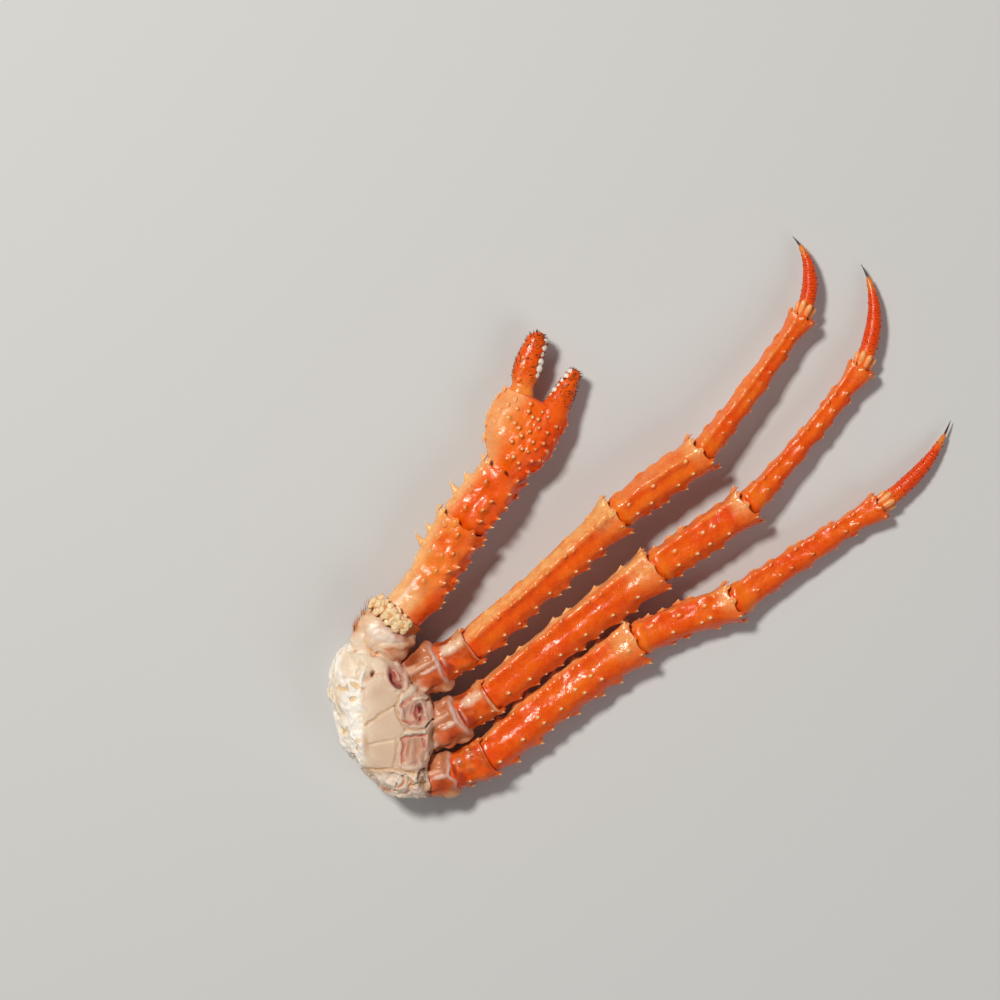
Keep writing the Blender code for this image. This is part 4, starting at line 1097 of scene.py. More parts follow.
def shell_material(name, roughness, relief, mottle, pits, subsurface):
    """A shell or meat surface: the tint, warmly mottled and finely pitted, with an uneven moist gloss."""
    material = bpy.data.materials.new(name)
    material.use_nodes = True
    tree = material.node_tree
    place = add_node(tree, "TexCoord", {}).outputs["Object"]
    attribute = add_node(tree, "Attribute", {})
    attribute.attribute_name = "tint"
    tint = attribute.outputs["Color"]

    grain, fine = add_noise(tree, place, 520.0, 0.0, mottle, 4.0)
    _, broad = add_noise(tree, place, 190.0, 0.0, mottle)
    _, gloss = add_noise(tree, place, 240.0, roughness - 0.06, roughness + 0.14)
    cells = add_node(tree, "TexVoronoi", {"Vector": place, "Scale": 560.0})
    pit = add_range(tree, cells.outputs["Distance"], 0.08, 0.30, pits, 0.0)
    pit.interpolation_type = "SMOOTHSTEP"
    pit = pit.outputs["Result"]

    amount = add_math(tree, "ADD", add_math(tree, "ADD", fine, broad), pit)
    amount.node.use_clamp = True
    deeper = add_node(tree, "VectorMath", {0: tint, 1: DEEPER})
    deeper.operation = "MULTIPLY"
    mottled = add_node(tree, "Mix", {})
    mottled.data_type = "RGBA"
    kept = add_math(tree, "MULTIPLY", amount, attribute.outputs["Alpha"])
    set_inputs(tree, mottled, {"Factor": kept, "A": tint, "B": deeper.outputs["Vector"]})
    height = add_math(tree, "SUBTRACT", grain, pit)
    bump = add_node(tree, "Bump", {"Height": height, "Strength": 0.7, "Distance": relief * MILLIMETRE})
    set_inputs(tree, tree.nodes["Principled BSDF"], {
        "Base Color": mottled.outputs["Result"],
        "Normal": bump.outputs["Normal"],
        "Roughness": gloss,
        "Specular IOR Level": 0.38,
        "Subsurface Weight": subsurface,
        "Subsurface Radius": (1.0, 0.30, 0.10),
        "Subsurface Scale": 0.0012,
    })
    return material


# Each finish: name, roughness, relief in millimetres, and how strong its mottling, pits and subsurface are.
MATERIALS = {
    "leg": shell_material("leg_shell", 0.19, 0.30, 0.36, 0.50, 0.03),
    "talon": shell_material("talon_shell", 0.24, 0.28, 0.30, 0.40, 0.03),
    "claw": shell_material("claw_shell", 0.22, 0.26, 0.30, 0.40, 0.05),
    "coxa": shell_material("coxa_shell", 0.27, 0.24, 0.22, 0.12, 0.08),
    "meat": shell_material("shoulder_meat", 0.42, 0.24, 0.08, 0.0, 0.14),
    "bristle": shell_material("bristle_hair", 0.50, 0.02, 0.10, 0.0, 0.0),
}


# ---------------------------------------------------------------- walking legs
TALON_SIDES = 44
LOBE_SIDES = 12
LOBE_ROW = 3                 # row of the talon that its lobes stand on
TALON_LOBES = ((8.0, 8.6), (62.0, 10.4), (112.0, 9.4), (176.0, 8.8), (292.0, 7.0))   # angle and length
BRISTLE_ROWS = (20.0, 64.0, 104.0, 150.0, 215.0, 320.0)   # angles round the talon
WRINKLE_HEIGHT = 0.20
WRINKLE_GAP = 1.7


def joint_points(leg):
    """The middles of a walking leg's joints, from its root to the talon."""
    points = [np.array(leg["root"])]
    for _, length, heading, far_height, _, _ in leg["segments"]:
        rise = far_height - points[-1][2]
        reach = math.sqrt(length * length - rise * rise)
        points.append(points[-1] + heading_vector(heading) * reach + np.array((0.0, 0.0, rise)))
    return points


def walking_shells(leg):
    """The segments of a walking leg, coxa first, as (kind, shell)."""
    points = [np.array(leg["coxa"][0])] + joint_points(leg)
    forwards = [unit(b - a) for a, b in zip(points, points[1:])]
    forwards = [forwards[0]] + forwards + [heading_vector(leg["talon"]["headings"][0])]
    shapes = [("coxa", leg["coxa"][1], 0.0)]
    shapes += [(kind, widths, bow) for kind, _, _, _, widths, bow in leg["segments"]]
    for i, (kind, widths, bow) in enumerate(shapes):
        crest = leg["crest"] if kind in ("merus", "carpus", "propodus") else None
        ends = (points[i], points[i + 1])
        yield kind, Shell(*ends, widths, FLATNESS[kind], bow, forwards[i], forwards[i + 2], crest)


def talon_line(talon, start, steps=110):
    """Centres and directions from a talon's base to its tip."""
    first, last = talon["headings"]
    centre, centres, forwards = start.copy(), [], []
    for i in range(steps + 1):
        t = i / steps
        centre[2] = start[2] + (talon["tip_height"] - start[2]) * t ** 1.4
        centres.append(centre.copy())
        forwards.append(heading_vector(first + (last - first) * t ** 1.35))
        middle = heading_vector(first + (last - first) * (t + 0.5 / steps) ** 1.35)
        centre = centre + middle * (talon["length"] / steps)
    return np.array(centres), np.array(forwards)


def talon_half(talon, t):
    """Half width: nearly parallel, then drawn to a cone that ends in a thin horny needle."""
    drawn = np.maximum(0.0, (t - 0.34) / 0.66) ** 1.55
    cone = 0.5 * talon["width"] * (1.0 - 0.12 * t) * np.maximum(0.05, 1.0 - drawn)
    needle = 0.80 - 0.52 * smooth((t - 0.86) / 0.14)
    return np.where(t > 0.86, np.minimum(cone, needle), cone)


def add_talon_lobes(body, centre, forward, base, rng):
    """Blunt finger-like lobes that hug the talon's base and point along it."""
    s = np.array((0.0, 0.12, 0.30, 0.50, 0.68, 0.84, 0.94, 1.0))
    round_end = np.sqrt(np.clip(1.0 - ((s - 0.66) / 0.36).clip(0.0) ** 2, 0.02, 1.0))
    colours = np.repeat(mix(ORANGE, PEACH, 0.30 + 0.65 * s)[:, None], LOBE_SIDES, axis=1)
    for angle, length in TALON_LOBES:
        outward = outward_at(forward, angle)
        radius = 1.95 * round_end * (0.85 + 0.15 * s) * rng.uniform(0.92, 1.08)
        start = centre + outward * (base * 0.78) - forward * 1.0
        path = start + np.outer(s * length, forward) + np.outer(1.44 * s ** 1.6, outward)
        ring = circle(outward, np.cross(forward, outward), LOBE_SIDES)
        body.tube(path[:, None] + ring[None] * radius[:, None, None], colours)


def add_bristles(body, bristles, radius):
    """Fine tapering hairs, each a foot, direction, length and colour."""
    s = np.array((0.0, 0.35, 0.7, 1.0))
    share = radius * np.array((1.0, 0.8, 0.5, 0.15))
    for foot, direction, length, colour in bristles:
        side = unit(np.cross(direction, (0.31, 0.2, 0.93)))
        ring = circle(side, np.cross(direction, side), 4)
        path = foot + np.outer((s - 0.1) * length, direction) + np.outer(0.25 * length * s ** 2, side)
        body.tube(path[:, None] + ring[None] * share[:, None, None], np.asarray(colour))


def add_talon_bristles(body, centres, forwards, half, rng):
    """Rows of short dark bristles along the talon."""
    bristles = []
    for angle in BRISTLE_ROWS:
        for place in np.arange(0.18, 0.84, 0.075):
            i = int((place + rng.uniform(-0.02, 0.02)) * (len(centres) - 1))
            out = outward_at(forwards[i], angle + rng.uniform(-12.0, 12.0))
            direction = unit(out + forwards[i] * 1.1)
            bristles.append((centres[i] + out * half[i], direction, rng.uniform(0.7, 1.3), SPECK))
    add_bristles(body, bristles, 0.30)


def talon_colours(t, points, wrinkles):
    """Orange at the base, red with grooves darkened as painted shade, then ochre and a dark horny tip."""
    patch = 0.5 + 0.5 * noise(points, 6.0, 14.0)
    # The wrinkles' grooves are painted darker by their depth: painted shade.
    groove = smooth(-wrinkles / WRINKLE_HEIGHT)
    return paint(mix(ORANGE, TALON_RED, smooth((t - 0.08) / 0.22) * (0.72 + 0.28 * patch)), [
        (WRINKLE_SHADE, 0.55 * groove * smooth((t - 0.12) / 0.1)),
        (OCHRE, smooth((t - 0.70) / 0.12)),
        (HORN, smooth((t - 0.855) / 0.035)),
    ])


def build_talon(node, leg_name, talon, start, before, rng):
    """A wrinkled talon, starting with a neck inside the segment before it."""
    centres, forwards = talon_line(talon, start)
    t = np.linspace(0.0, 1.0, len(centres))
    half = talon_half(talon, t)
    plane = unit(before + forwards[0])
    facing = forwards.copy()
    facing[0] = plane
    ring = outward_ring(facing, turns(TALON_SIDES))
    points = centres[:, None] + ring * half[:, None, None]
    grid_t = np.repeat(t[:, None], TALON_SIDES, axis=1)
    turn = 2.0 * math.pi * (grid_t * talon["length"]) / WRINKLE_GAP
    wrinkles = WRINKLE_HEIGHT * np.sin(turn + 2.2 * noise(points, 5.0, 12.0))
    wrinkles = wrinkles * smooth((grid_t - 0.12) / 0.1) * smooth((0.80 - grid_t) / 0.15)
    lift = wrinkles + 0.16 * noise(points, 4.0, 13.0) * smooth((0.86 - grid_t) / 0.1)
    points = points + ring * lift[..., None]
    colours = talon_colours(grid_t, points, wrinkles)
    neck = centres[0] - plane * 3.0 + (points[0] - centres[0]) * 0.9
    points = np.concatenate((neck[None], points))
    colours = np.concatenate((np.broadcast_to(SEAM, colours[:1].shape), colours))
    body = Body()
    body.tube(points, colours)
    add_talon_lobes(body, centres[LOBE_ROW], forwards[LOBE_ROW], 0.5 * talon["width"], rng)
    add_talon_bristles(body, centres, forwards, half, rng)
    make_piece(f"{leg_name}_talon", body, MATERIALS["talon"], node)


def build_coxa(node, shell, tint, rough, seed, marks, spots=()):
    body = Body()
    add_shell(body, shell, "coxa", [], tint, rough, seed, marks, spots)
    make_piece(f"{node}_shell", body, MATERIALS["coxa"], node)


def build_walking_leg(name, leg, rng):
    crest = leg["crest"]
    for number, (kind, shell) in enumerate(walking_shells(leg)):
        node = f"{name}_{kind}"
        if kind == "coxa":
            build_coxa(node, shell, coxa_tint(20.0 + crest), 1.7, crest, SHOULDER_MARKS, COXA_SPOTS)
            continue
        body = Body()
        spots, rough = (BASIS_SPOTS, 0.72) if kind == "basis" else ((), 0.80)
        spines = make_spines(node, kind, rng)
        tint = leg_tint(kind, crest)
        add_shell(body, shell, kind, spines, tint, rough, crest + number, (), spots, leg["paleness"])
        make_piece(f"{node}_shell", body, MATERIALS["leg"], node)
    build_talon(f"{name}_dactyl", name, leg["talon"], shell.end.copy(), shell.forward, rng)


# ---------------------------------------------------------------- claw arm
FINGER_SIDES = 60
FIXED_START = -0.42          # how far back in the palm the fixed finger starts, as a share of its reach
PALM_SIDES, PALM_ROWS, WEB_ROWS = 170, 70, 15
# Horns of the movable finger: place along it, angle round it and height.
FINGER_HORNS = (
    (0.30, 8.0, 2.0), (0.45, 4.0, 2.3), (0.60, 10.0, 2.2), (0.75, 6.0, 2.0),
    (0.88, 12.0, 1.6), (0.22, 60.0, 1.6), (0.40, 74.0, 1.3), (0.55, 52.0, 1.4),
)


def claw_shells():
    """The segments of the claw arm, coxa first, as (kind, shell)."""
    points = [np.array(p) for p in CLAW_JOINTS]
    forwards = [unit(b - a) for a, b in zip(points, points[1:])]
    forwards = [forwards[0]] + forwards + [forwards[-1]]
    for i, (kind, widths, flatness, bow) in enumerate(CLAW_SEGMENTS):
        ends = (points[i], points[i + 1])
        thinning = 0.40 if kind == "palm" else 0.0
        yield kind, Shell(*ends, widths, flatness, bow, forwards[i], forwards[i + 2], None, thinning)


def add_tooth(body, foot, outward, forward, size):
    """A rounded white molar."""
    spine = Spine("pearl", 0.0, 0.0, size)
    spine.base, spine.cone = size * 1.05, size
    body.tube(spine_rings(foot, outward, forward, spine), np.asarray(TOOTH), SPINE_MOTTLE)


def finger_grid(centres, facing, half, flatness):
    """Rings of a finger, and the directions straight out of it."""
    angles = turns(FINGER_SIDES)
    radius = superellipse(np.radians(angles)[None], half[:, None], (half * flatness)[:, None])
    ring = outward_ring(facing, angles)
    return centres[:, None] + ring * radius[..., None], ring


def finger_tip(s):
    """How a finger narrows to its rounded tip."""
    return np.sqrt(np.clip(1.0 - np.clip((s - 0.90) / 0.105, 0.0, 1.0) ** 2, 0.02, 1.0))


def finger_tint(points, t, base):
    """Orange and red with dark pits, and the colour of its base where it starts."""
    t = np.repeat(t[:, None], FINGER_SIDES, axis=1)
    patch = 0.5 + 0.5 * noise(points, 4.5, 30.0)
    dark = smooth(noise(points, 1.9, 35.0) - 0.15) * smooth(t / 0.3)
    return paint(mix(CLAW_ORANGE, RED, 0.10 + 0.55 * patch), [
        (FINGER_PIT, 0.55 * dark),
        (base, 0.75 * (1.0 - smooth(t / 0.40))),
    ])


def add_finger_hairs(body, points, ring, forward, rng, count):
    """Amber and black bristles, longer and darker towards the tip."""
    rows, sides = points.shape[:2]
    bristles = []
    for _ in range(count):
        i = min(int(rows * (0.06 + 0.92 * rng.uniform() ** 0.8)), rows - 2)
        k = rng.integers(sides)
        tip = i / rows
        direction = unit(ring[i, k] + forward * rng.uniform(0.7, 1.5))
        length = rng.uniform(0.7, 1.5) + 1.3 * tip * rng.uniform()
        colour = SPECK if rng.uniform() < 0.45 + 0.4 * (tip > 0.85) else AMBER
        bristles.append((points[i, k], direction, length, colour))
    add_bristles(body, bristles, 0.24)


def build_palm(shell, rng):
    """A swollen hand that thins towards its fingers and ends in a rounded web between them."""
    spines = make_spines("claw_palm", "palm", rng, collar=False)
    tint = claw_tint("palm")
    t, shrink, shift = segment_rows(PALM_ROWS)
    grid_t, grid_a = np.meshgrid(t, turns(PALM_SIDES), indexing="ij")
    grid_shrink = np.repeat(shrink[:, None], PALM_SIDES, axis=1)
    grid_shift = np.repeat(shift[:, None], PALM_SIDES, axis=1)
    points, outward = shell.surface(grid_t, grid_a, grid_shrink, grid_shift)
    lift = 0.75 * noise(points, 8.0, 31.0) + 0.30 * noise(warp(points), 4.0, 32.0)
    for spine in spines:
        lift = lift + spine.mound(shell, grid_t, grid_a)
    lift = lift * smooth(grid_t * shell.length / 3.0)
    points = points + outward * lift[..., None]
    web = np.linspace(0.0, 1.0, WEB_ROWS + 1)[1:]
    middle = points[-1].mean(axis=0)
    inward = np.cos(0.5 * math.pi * web)[:, None, None]
    bulge = 2.4 * np.sin(0.5 * math.pi * web)[:, None, None] * shell.forward
    cap = middle + (points[-1] - middle)[None] * np.maximum(inward, 0.02) + bulge
    colours = tint(grid_t, grid_a, points)
    web_colours = mix(np.repeat(colours[-1:], WEB_ROWS, axis=0), RED, 0.4)
    body = Body()
    body.tube(np.concatenate((points, cap)), np.concatenate((colours, web_colours)))
    add_spines(body, shell, spines, tint)
    add_fixed_finger(body, shell, rng)
    make_piece("claw_hand", body, MATERIALS["claw"], "claw_palm")


def add_fixed_finger(body, palm, rng):
    """The finger that is part of the hand, with a row of molars on its inner side."""
    side, _ = side_and_up(palm.forward)
    s = np.linspace(FIXED_START, 1.0, 58)
    f = np.clip(s, 0.0, 1.0)
    width, tip = FIXED_FINGER["width"], FIXED_FINGER["tip_width"]
    half = 0.5 * (width + (tip - width) * f ** 1.6)
    half = half * finger_tip(s)
    half = half * (1.0 + 0.20 * (1.0 - smooth((s + 0.12) / 0.42)))
    offset = FIXED_FINGER["side"] + FIXED_FINGER["veer"] * s
    centres = palm.end + np.outer(offset, side) + np.outer(FIXED_FINGER["reach"] * s, palm.forward)
    facing = np.repeat(palm.forward[None], len(s), axis=0)
    points, ring = finger_grid(centres, facing, half, FIXED_FINGER["flatness"])
    points = points + ring * (0.22 * noise(points, 3.2, 33.0))[..., None]
    body.tube(points, finger_tint(points, f, FINGER_BASE))
    for i in range(7):
        row = int((0.16 + 0.125 * i - FIXED_START) / (1.0 - FIXED_START) * (len(s) - 1))
        foot = centres[row] + side * (half[row] * 0.74) + np.array((0.0, 0.0, 2.2))
        size = (2.3 - 0.13 * i) * rng.uniform(0.70, 1.22)
        add_tooth(body, foot, unit(side + np.array((0.0, 0.0, 0.35))), palm.forward, size)
    add_finger_hairs(body, points[18:], ring[18:], palm.forward, rng, 330)


def add_finger_horns(body, centres, forwards, half):
    for place, angle, height in FINGER_HORNS:
        row = int(place * (len(centres) - 1))
        outward = outward_at(forwards[row], angle)
        foot = centres[row] + outward * (half[row] * 0.90)
        spine = Spine("horn", place, angle, height)
        rings = spine_rings(foot, outward, forwards[row], spine)
        body.tube(rings, spine_colours(spine, np.array(CLAW_ORANGE)), SPINE_MOTTLE)


def build_movable_finger(palm, rng):
    """The finger that opens: it leans out at its base and curves back over the fixed one."""
    side, _ = side_and_up(palm.forward)
    base = palm.end + side * MOVABLE_FINGER["side"] + palm.forward * TOUCHING_GAP
    s = np.linspace(0.0, 1.0, 64)
    half = 0.5 * along(MOVABLE_FINGER["widths"], s)
    half = half * finger_tip(s)
    half = half * (1.0 - 0.13 * bell((s - 0.13) / 0.07))
    heading = MOVABLE_FINGER["heading"]
    forwards = np.array([heading_vector(heading + 9.0 - 20.0 * x) for x in s])
    stretch = MOVABLE_FINGER["length"] * 1.03
    centres = base + np.cumsum(forwards, axis=0) * (stretch / len(s))
    weight = smooth(s * MOVABLE_FINGER["length"] / MITRE_LENGTH)[:, None]
    facing = unit(unit(palm.forward + forwards[0]) * (1.0 - weight) + forwards * weight)
    points, ring = finger_grid(centres, facing, half, MOVABLE_FINGER["flatness"])
    points = points + ring * (0.26 * noise(points, 3.2, 34.0))[..., None]
    body = Body()
    body.tube(points, finger_tint(points, s, CLAW_PEACH))
    for i in range(6):
        row = int((0.34 + 0.115 * i) * (len(s) - 1))
        across, up = side_and_up(forwards[row])
        foot = centres[row] - across * (half[row] * 0.80) + up * 2.0
        size = (2.6 - 0.14 * i) * rng.uniform(0.62, 1.25)
        add_tooth(body, foot, unit(up * 0.35 - across), forwards[row], size)
    add_finger_horns(body, centres, forwards, half)
    add_finger_hairs(body, points[5:], ring[5:], forwards[30], rng, 420)
    make_piece("claw_thumb", body, MATERIALS["claw"], "claw_finger")


def build_claw_arm(rng):
    for kind, shell in claw_shells():
        node = f"claw_{kind}"
        if kind == "palm":
            build_palm(shell, rng)
            build_movable_finger(shell, rng)
            continue
        if kind == "coxa":
            build_coxa(node, shell, coxa_tint(41.0, 1.0), 1.5, 5.0, SHOULDER_MARKS + CLAW_COXA_MARKS)
            continue
        body = Body()
        spines = make_spines(node, kind, rng)
        add_shell(body, shell, kind, spines, claw_tint(kind), 1.0 if kind == "ischium" else 1.05, 6.0)
        finish, slot = ("coxa", "coxa_shell") if kind == "ischium" else ("claw", "claw_shell")
        make_piece(f"{node}_shell", body, MATERIALS[finish], node)


# ---------------------------------------------------------------- shoulder
# Its outline seen from above, then its profile from the underside to the top: height and share of that
# outline.
SHOULDER_OUTLINE = [
    (-146.0, -84.0), (-163.0, -75.5), (-177.0, -77.0), (-184.5, -89.0),
    (-186.5, -104.0), (-183.0, -117.0), (-180.0, -134.0), (-170.0, -147.5),
    (-157.5, -160.5), (-147.0, -168.0), (-134.5, -168.6), (-125.0, -165.0),
    (-126.0, -148.0), (-121.5, -134.0), (-122.5, -115.0), (-130.0, -101.0),
]
SHOULDER_PROFILE = [
    (0.0, 0.05), (0.0, 0.80), (2.0, 0.90), (9.0, 0.98), (20.0, 1.00),
    (30.0, 0.95), (36.5, 0.84), (40.0, 0.64), (41.6, 0.36), (41.8, 0.01),
]
SHOULDER_SIDES = 440
UNDER_ROWS, TOP_ROWS = 56, 150   # rows of the underside and rim, and of the top
TOP_RUN = 46.0                   # how much of the profile's length is the top
SMOOTHED_ROWS = 9                # how many rows the profile is averaged over
MIDDLE_HEIGHT = 18.0             # where the shoulder's side is upright
# Turns and stretches the strands of the meat.
STRANDS = np.array(((0.96, 0.20, 0.1), (-0.20, 0.55, 0.1), (0.1, -0.1, 0.9)))


def closed_curve(points, count):
    """Points on the smooth closed curve through the given ones."""
    points = np.array(points)
    u = np.arange(count) * len(points) / count
    i = u.astype(int)
    f = (u - i)[:, None]
    a, b, c, d = (points[(i + j - 1) % len(points)] for j in range(4))
    square = (2 * a - 5 * b + 4 * c - d) * f ** 2
    cube = (3 * b - a - 3 * c + d) * f ** 3
    return 0.5 * (2 * b + (c - a) * f + square + cube)


def averaged(values):
    """A run of values smoothed over its neighbours, with its ends held."""
    kernel = np.ones(SMOOTHED_ROWS) / SMOOTHED_ROWS
    return np.convolve(np.pad(values, SMOOTHED_ROWS // 2, mode="edge"), kernel, "valid")


def shoulder_rows():
    """The profile from the middle of the underside round to the middle of the top, closest on the top."""
    heights, shares = np.array(SHOULDER_PROFILE).T
    run = np.concatenate(((0.0,), np.cumsum(np.hypot(np.diff(heights), np.diff(shares) * 44.0))))
    upper = run[-1] - TOP_RUN
    under = np.linspace(0.0, upper, UNDER_ROWS, endpoint=False)
    rows = np.concatenate((under, np.linspace(upper, run[-1], TOP_ROWS)))
    return averaged(np.interp(rows, run, heights)), averaged(np.interp(rows, run, shares))


def inside_outline(xy, outline):
    """Whether each point lies inside a closed outline, by counting the edges to its right."""
    crossings = np.zeros(xy.shape[:-1], dtype=int)
    for (x0, y0), (x1, y1) in zip(outline, outline[1:] + outline[:1]):
        spans = (y0 > xy[..., 1]) != (y1 > xy[..., 1])
        at = x0 + (xy[..., 1] - y0) * (x1 - x0) / (y1 - y0 + 1e-9)
        crossings += spans & (xy[..., 0] < at)
    return crossings % 2 == 1


def add_plates(points, colours, strength):
    """The smooth plates, each a low dome with a faintly raised pale edge."""
    waver = np.stack((noise(points, 7.0, 53.0), noise(points, 7.0, 54.0)), axis=-1)
    xy = points[..., :2] - SHOULDER_MIDDLE + 0.5 * waver
    lift = np.zeros(points.shape[:-1])
    for number, outline in enumerate(PLATES):
        inside = np.where(inside_outline(xy, outline), 1.0, -1.0)
        depth = line_distance(xy, outline + outline[:1]) * inside
        share = strength * smooth((depth + 1.0) / 1.8)
        lift = lift + PLATE_DOME * share * (0.55 + 0.45 * smooth(depth / 6.0))
        pale = 0.5 + 0.5 * noise(points, 9.0, 55.0 + number) + 0.7 * smooth((-xy[..., 0] - 2.0) / 8.0)
        smooth_colour = mix(PLATE, PLATE_PALE, 0.10 + 0.55 * pale if number < 3 else 0.95 + 0.1 * pale)
        colours = mix(colours, smooth_colour, share)
    return colours, lift


def shoulder_grid():
    """The even surface of the shoulder, and the directions straight out of it."""
    outline = closed_curve(SHOULDER_OUTLINE, SHOULDER_SIDES)
    heights, shares = shoulder_rows()
    away = outline - SHOULDER_MIDDLE
    xy = SHOULDER_MIDDLE + away[None] * shares[:, None, None]
    z = np.repeat(heights[:, None], SHOULDER_SIDES, axis=1)
    points = np.concatenate((xy, z[..., None]), axis=-1)
    aside = np.concatenate((unit(away), np.zeros((SHOULDER_SIDES, 1))), axis=1)[None]
    steep = bell((z - MIDDLE_HEIGHT) / 17.0)[..., None]
    upright = np.zeros_like(points)
    upright[..., 2] = np.where(z > MIDDLE_HEIGHT, 1.0, -1.0)
    return points, unit(aside * steep + upright * (1.02 - steep))


def meat_share(points):
    """1 in the torn meat of the left edge, the lower end and the rim, and 0 on the smooth breast."""
    x, y, z = points[..., 0], points[..., 1], points[..., 2]
    left = smooth((-162.5 - x + 2.2 * noise(points, 6.0, 40.0)) / 4.0)
    bottom = smooth((-151.0 - y + 1.0 * noise(points, 6.0, 41.0)) / 2.0)
    rim = smooth((25.0 - z) / 9.0)
    return np.clip(left + bottom + rim, 0.0, 1.0)


def meat_surface(points):
    """How far meat and breast are lifted, and their colours, with painted highlight on the lumps' tops and
    painted shade in their dips and pores.
    """
    lumpy = meat_share(points)
    strands = warp(warp(points)) @ STRANDS
    curds = 0.9 * noise(strands, 4.2, 42.0) + 0.45 * noise(points, 2.0, 43.0)
    chunks = 1.0 - 2.0 * np.abs(noise(strands, 7.5, 48.0))
    pores = lumpy * smooth((noise(strands, 2.3, 49.0) - 0.25) / 0.25)
    pores = pores * smooth(0.6 + 1.6 * noise(points, 7.0, 52.0))
    lift = lumpy * (0.95 * curds + 1.20 * chunks - 0.5) + (1.0 - lumpy) * (0.30 * noise(points, 9.0, 44.0))
    lift = lift + (0.02 + 0.26 * lumpy) * noise(strands, 1.7, 47.0)
    lift = lift + 0.12 * lumpy * noise(points, 1.15, 46.0) - 1.1 * pores
    pale = np.clip(0.55 + 0.7 * noise(points, 10.0, 45.0), 0.0, 1.0)
    right = smooth((points[..., 0] + 138.0) / 8.0)
    colours = paint(mix(PLATE, PLATE_PALE, pale), [
        (PLATE_PINK, 0.55 * right),
        # The meat is painted whiter on the tops of its lumps and deeper in the dips between them, by its
        # relief: painted highlight and painted shade.
        (mix(MEAT_SHADE, MEAT, smooth(0.74 + 0.30 * curds + 0.40 * chunks)), lumpy),
        # The sunken pores are ochre: partly their own colour and partly painted shade in the pits.
        (OCHRE_DEEP, 0.70 * pores),
        (LOWER_TAN, 0.5 * smooth((-148.0 - points[..., 1]) / 4.0)),
    ])
    return lift, colours


def build_shoulder():
    """The breast with its plates, seams and openings, in torn meat."""
    points, outward = shoulder_grid()
    height = points[..., 2]
    top = smooth((height - 24.0) / 6.0)
    lift, colours = meat_surface(points)
    colours, domed = add_plates(points, colours, top)
    colours, marked = add_marks(points, colours, SHOULDER_MARKS, top)
    lift = lift * (1.0 - 0.8 * np.clip(domed / PLATE_DOME, 0.0, 1.0)) + domed
    lift = (lift + marked) * smooth(height / 3.0)
    points = points + outward * lift[..., None]
    points[..., 2] = np.maximum(points[..., 2], 0.0)
    body = Body()
    body.tube(points, colours)
    make_piece("shoulder_plates", body, MATERIALS["meat"], "shoulder")


def build_tufts(rng):
    """Amber bristles at the claw coxa's outer edge and the shoulder's lower end."""
    bristles = []
    coxa = next(shell for kind, shell in claw_shells() if kind == "coxa")
    for place in (0.30, 0.52, 0.74, 0.96):
        for _ in range(30):
            t = np.array([place + rng.normal(0.0, 0.045)])
            angle = np.array([rng.uniform(-14.0, 30.0)])
            foot, out = coxa.surface(t, angle, 1.0)
            direction = unit(out[0] + 0.9 * coxa.forward + rng.normal(0.0, 0.16, 3))
            length = rng.uniform(4.5, 9.0)
            bristles.append((foot[0], direction, length, TUFT if rng.uniform() < 0.85 else SPECK))
    for x in np.linspace(-134.0, -121.0, 7):
        for _ in range(9):
            foot = np.array((x, -165.6, 16.0)) + rng.normal(0.0, (1.0, 0.6, 2.4))
            direction = unit(np.array((0.25, -0.9, 0.1)) + rng.normal(0.0, 0.25, 3))
            bristles.append((foot, direction, rng.uniform(1.6, 3.2), AMBER))
    body = Body()
    add_bristles(body, bristles, 0.16)
    make_piece("shoulder_bristles", body, MATERIALS["bristle"])


# ---------------------------------------------------------------- stage
# In metres, as all that follows.
FLOOR_HALF = 3.0
LIT_SPOT = (-0.02, -0.02, 0.0)
CAMERA_DISTANCE = 2.2
SEEN_ACROSS = 0.600          # width of the view at the height of the legs
LEG_HEIGHT = 0.018
SEEN_MIDDLE = (-0.0846, 0.0100)


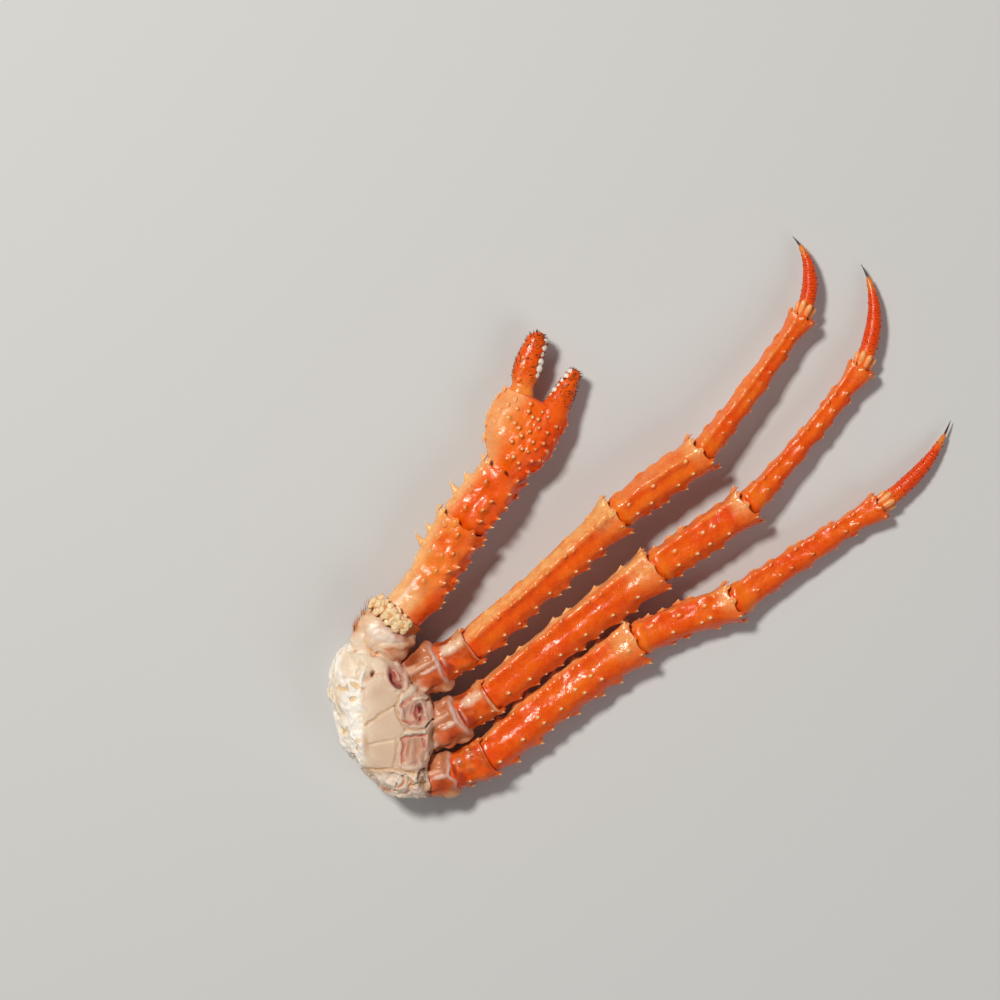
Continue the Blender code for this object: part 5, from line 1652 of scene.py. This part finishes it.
def build_floor():
    """A pale floor a hair below the cluster."""
    mesh = bpy.data.meshes.new("floor")
    corners = [(x * FLOOR_HALF, y * FLOOR_HALF, 0.0) for x, y in ((-1, -1), (1, -1), (1, 1), (-1, 1))]
    mesh.from_pydata(corners, [], [(0, 1, 2, 3)])
    floor = bpy.data.objects.new("floor", mesh)
    floor.location.z = -0.0002
    bpy.context.scene.collection.objects.link(floor)
    material = bpy.data.materials.new("pale_floor")
    material.use_nodes = True
    tree = material.node_tree
    set_inputs(tree, tree.nodes["Principled BSDF"], {"Base Color": (*FLOOR, 1.0), "Roughness": 0.8})
    mesh.materials.append(material)


def add_light(name, place, size, power, colour, gleams):
    """A rectangular light that faces the cluster. One that doesn't gleam leaves no shine on it."""
    light = bpy.data.lights.new(name, "AREA")
    light.shape = "RECTANGLE"
    light.size, light.size_y = size
    light.energy = power
    light.color = colour
    lamp = bpy.data.objects.new(name, light)
    lamp.location = place
    lamp.visible_glossy = gleams
    lamp.rotation_euler = (Vector(place) - Vector(LIT_SPOT)).to_track_quat("Z", "Y").to_euler()
    bpy.context.scene.collection.objects.link(lamp)


def build_lights():
    add_light("key", (-1.35, 1.2, 2.8), (0.60, 0.50), 92.0, (1.0, 0.95, 0.87), gleams=True)
    add_light("fill", (1.8, -1.5, 1.9), (1.8, 1.8), 20.0, (1.0, 0.97, 0.92), gleams=False)
    world = bpy.data.worlds.new("studio")
    world.use_nodes = True
    tree = world.node_tree
    set_inputs(tree, tree.nodes["Background"], {"Color": (1.0, 1.0, 1.0, 1.0), "Strength": 0.15})
    bpy.context.scene.world = world
    bpy.context.scene.view_settings.view_transform = "Standard"


def build_camera():
    """Straight above, through a long lens."""
    camera = bpy.data.cameras.new("camera")
    camera.sensor_width = 36.0
    camera.lens = camera.sensor_width * CAMERA_DISTANCE / SEEN_ACROSS
    camera.clip_start, camera.clip_end = 0.1, 20.0
    view = bpy.data.objects.new("camera", camera)
    view.location = (*SEEN_MIDDLE, CAMERA_DISTANCE + LEG_HEIGHT)
    bpy.context.scene.collection.objects.link(view)
    bpy.context.scene.camera = view


def main():
    rng = np.random.default_rng(SEED)
    build_camera()
    build_lights()
    build_floor()
    for name, leg in WALKING_LEGS.items():
        build_walking_leg(name, leg, rng)
    build_claw_arm(rng)
    build_shoulder()
    build_tufts(rng)


main()
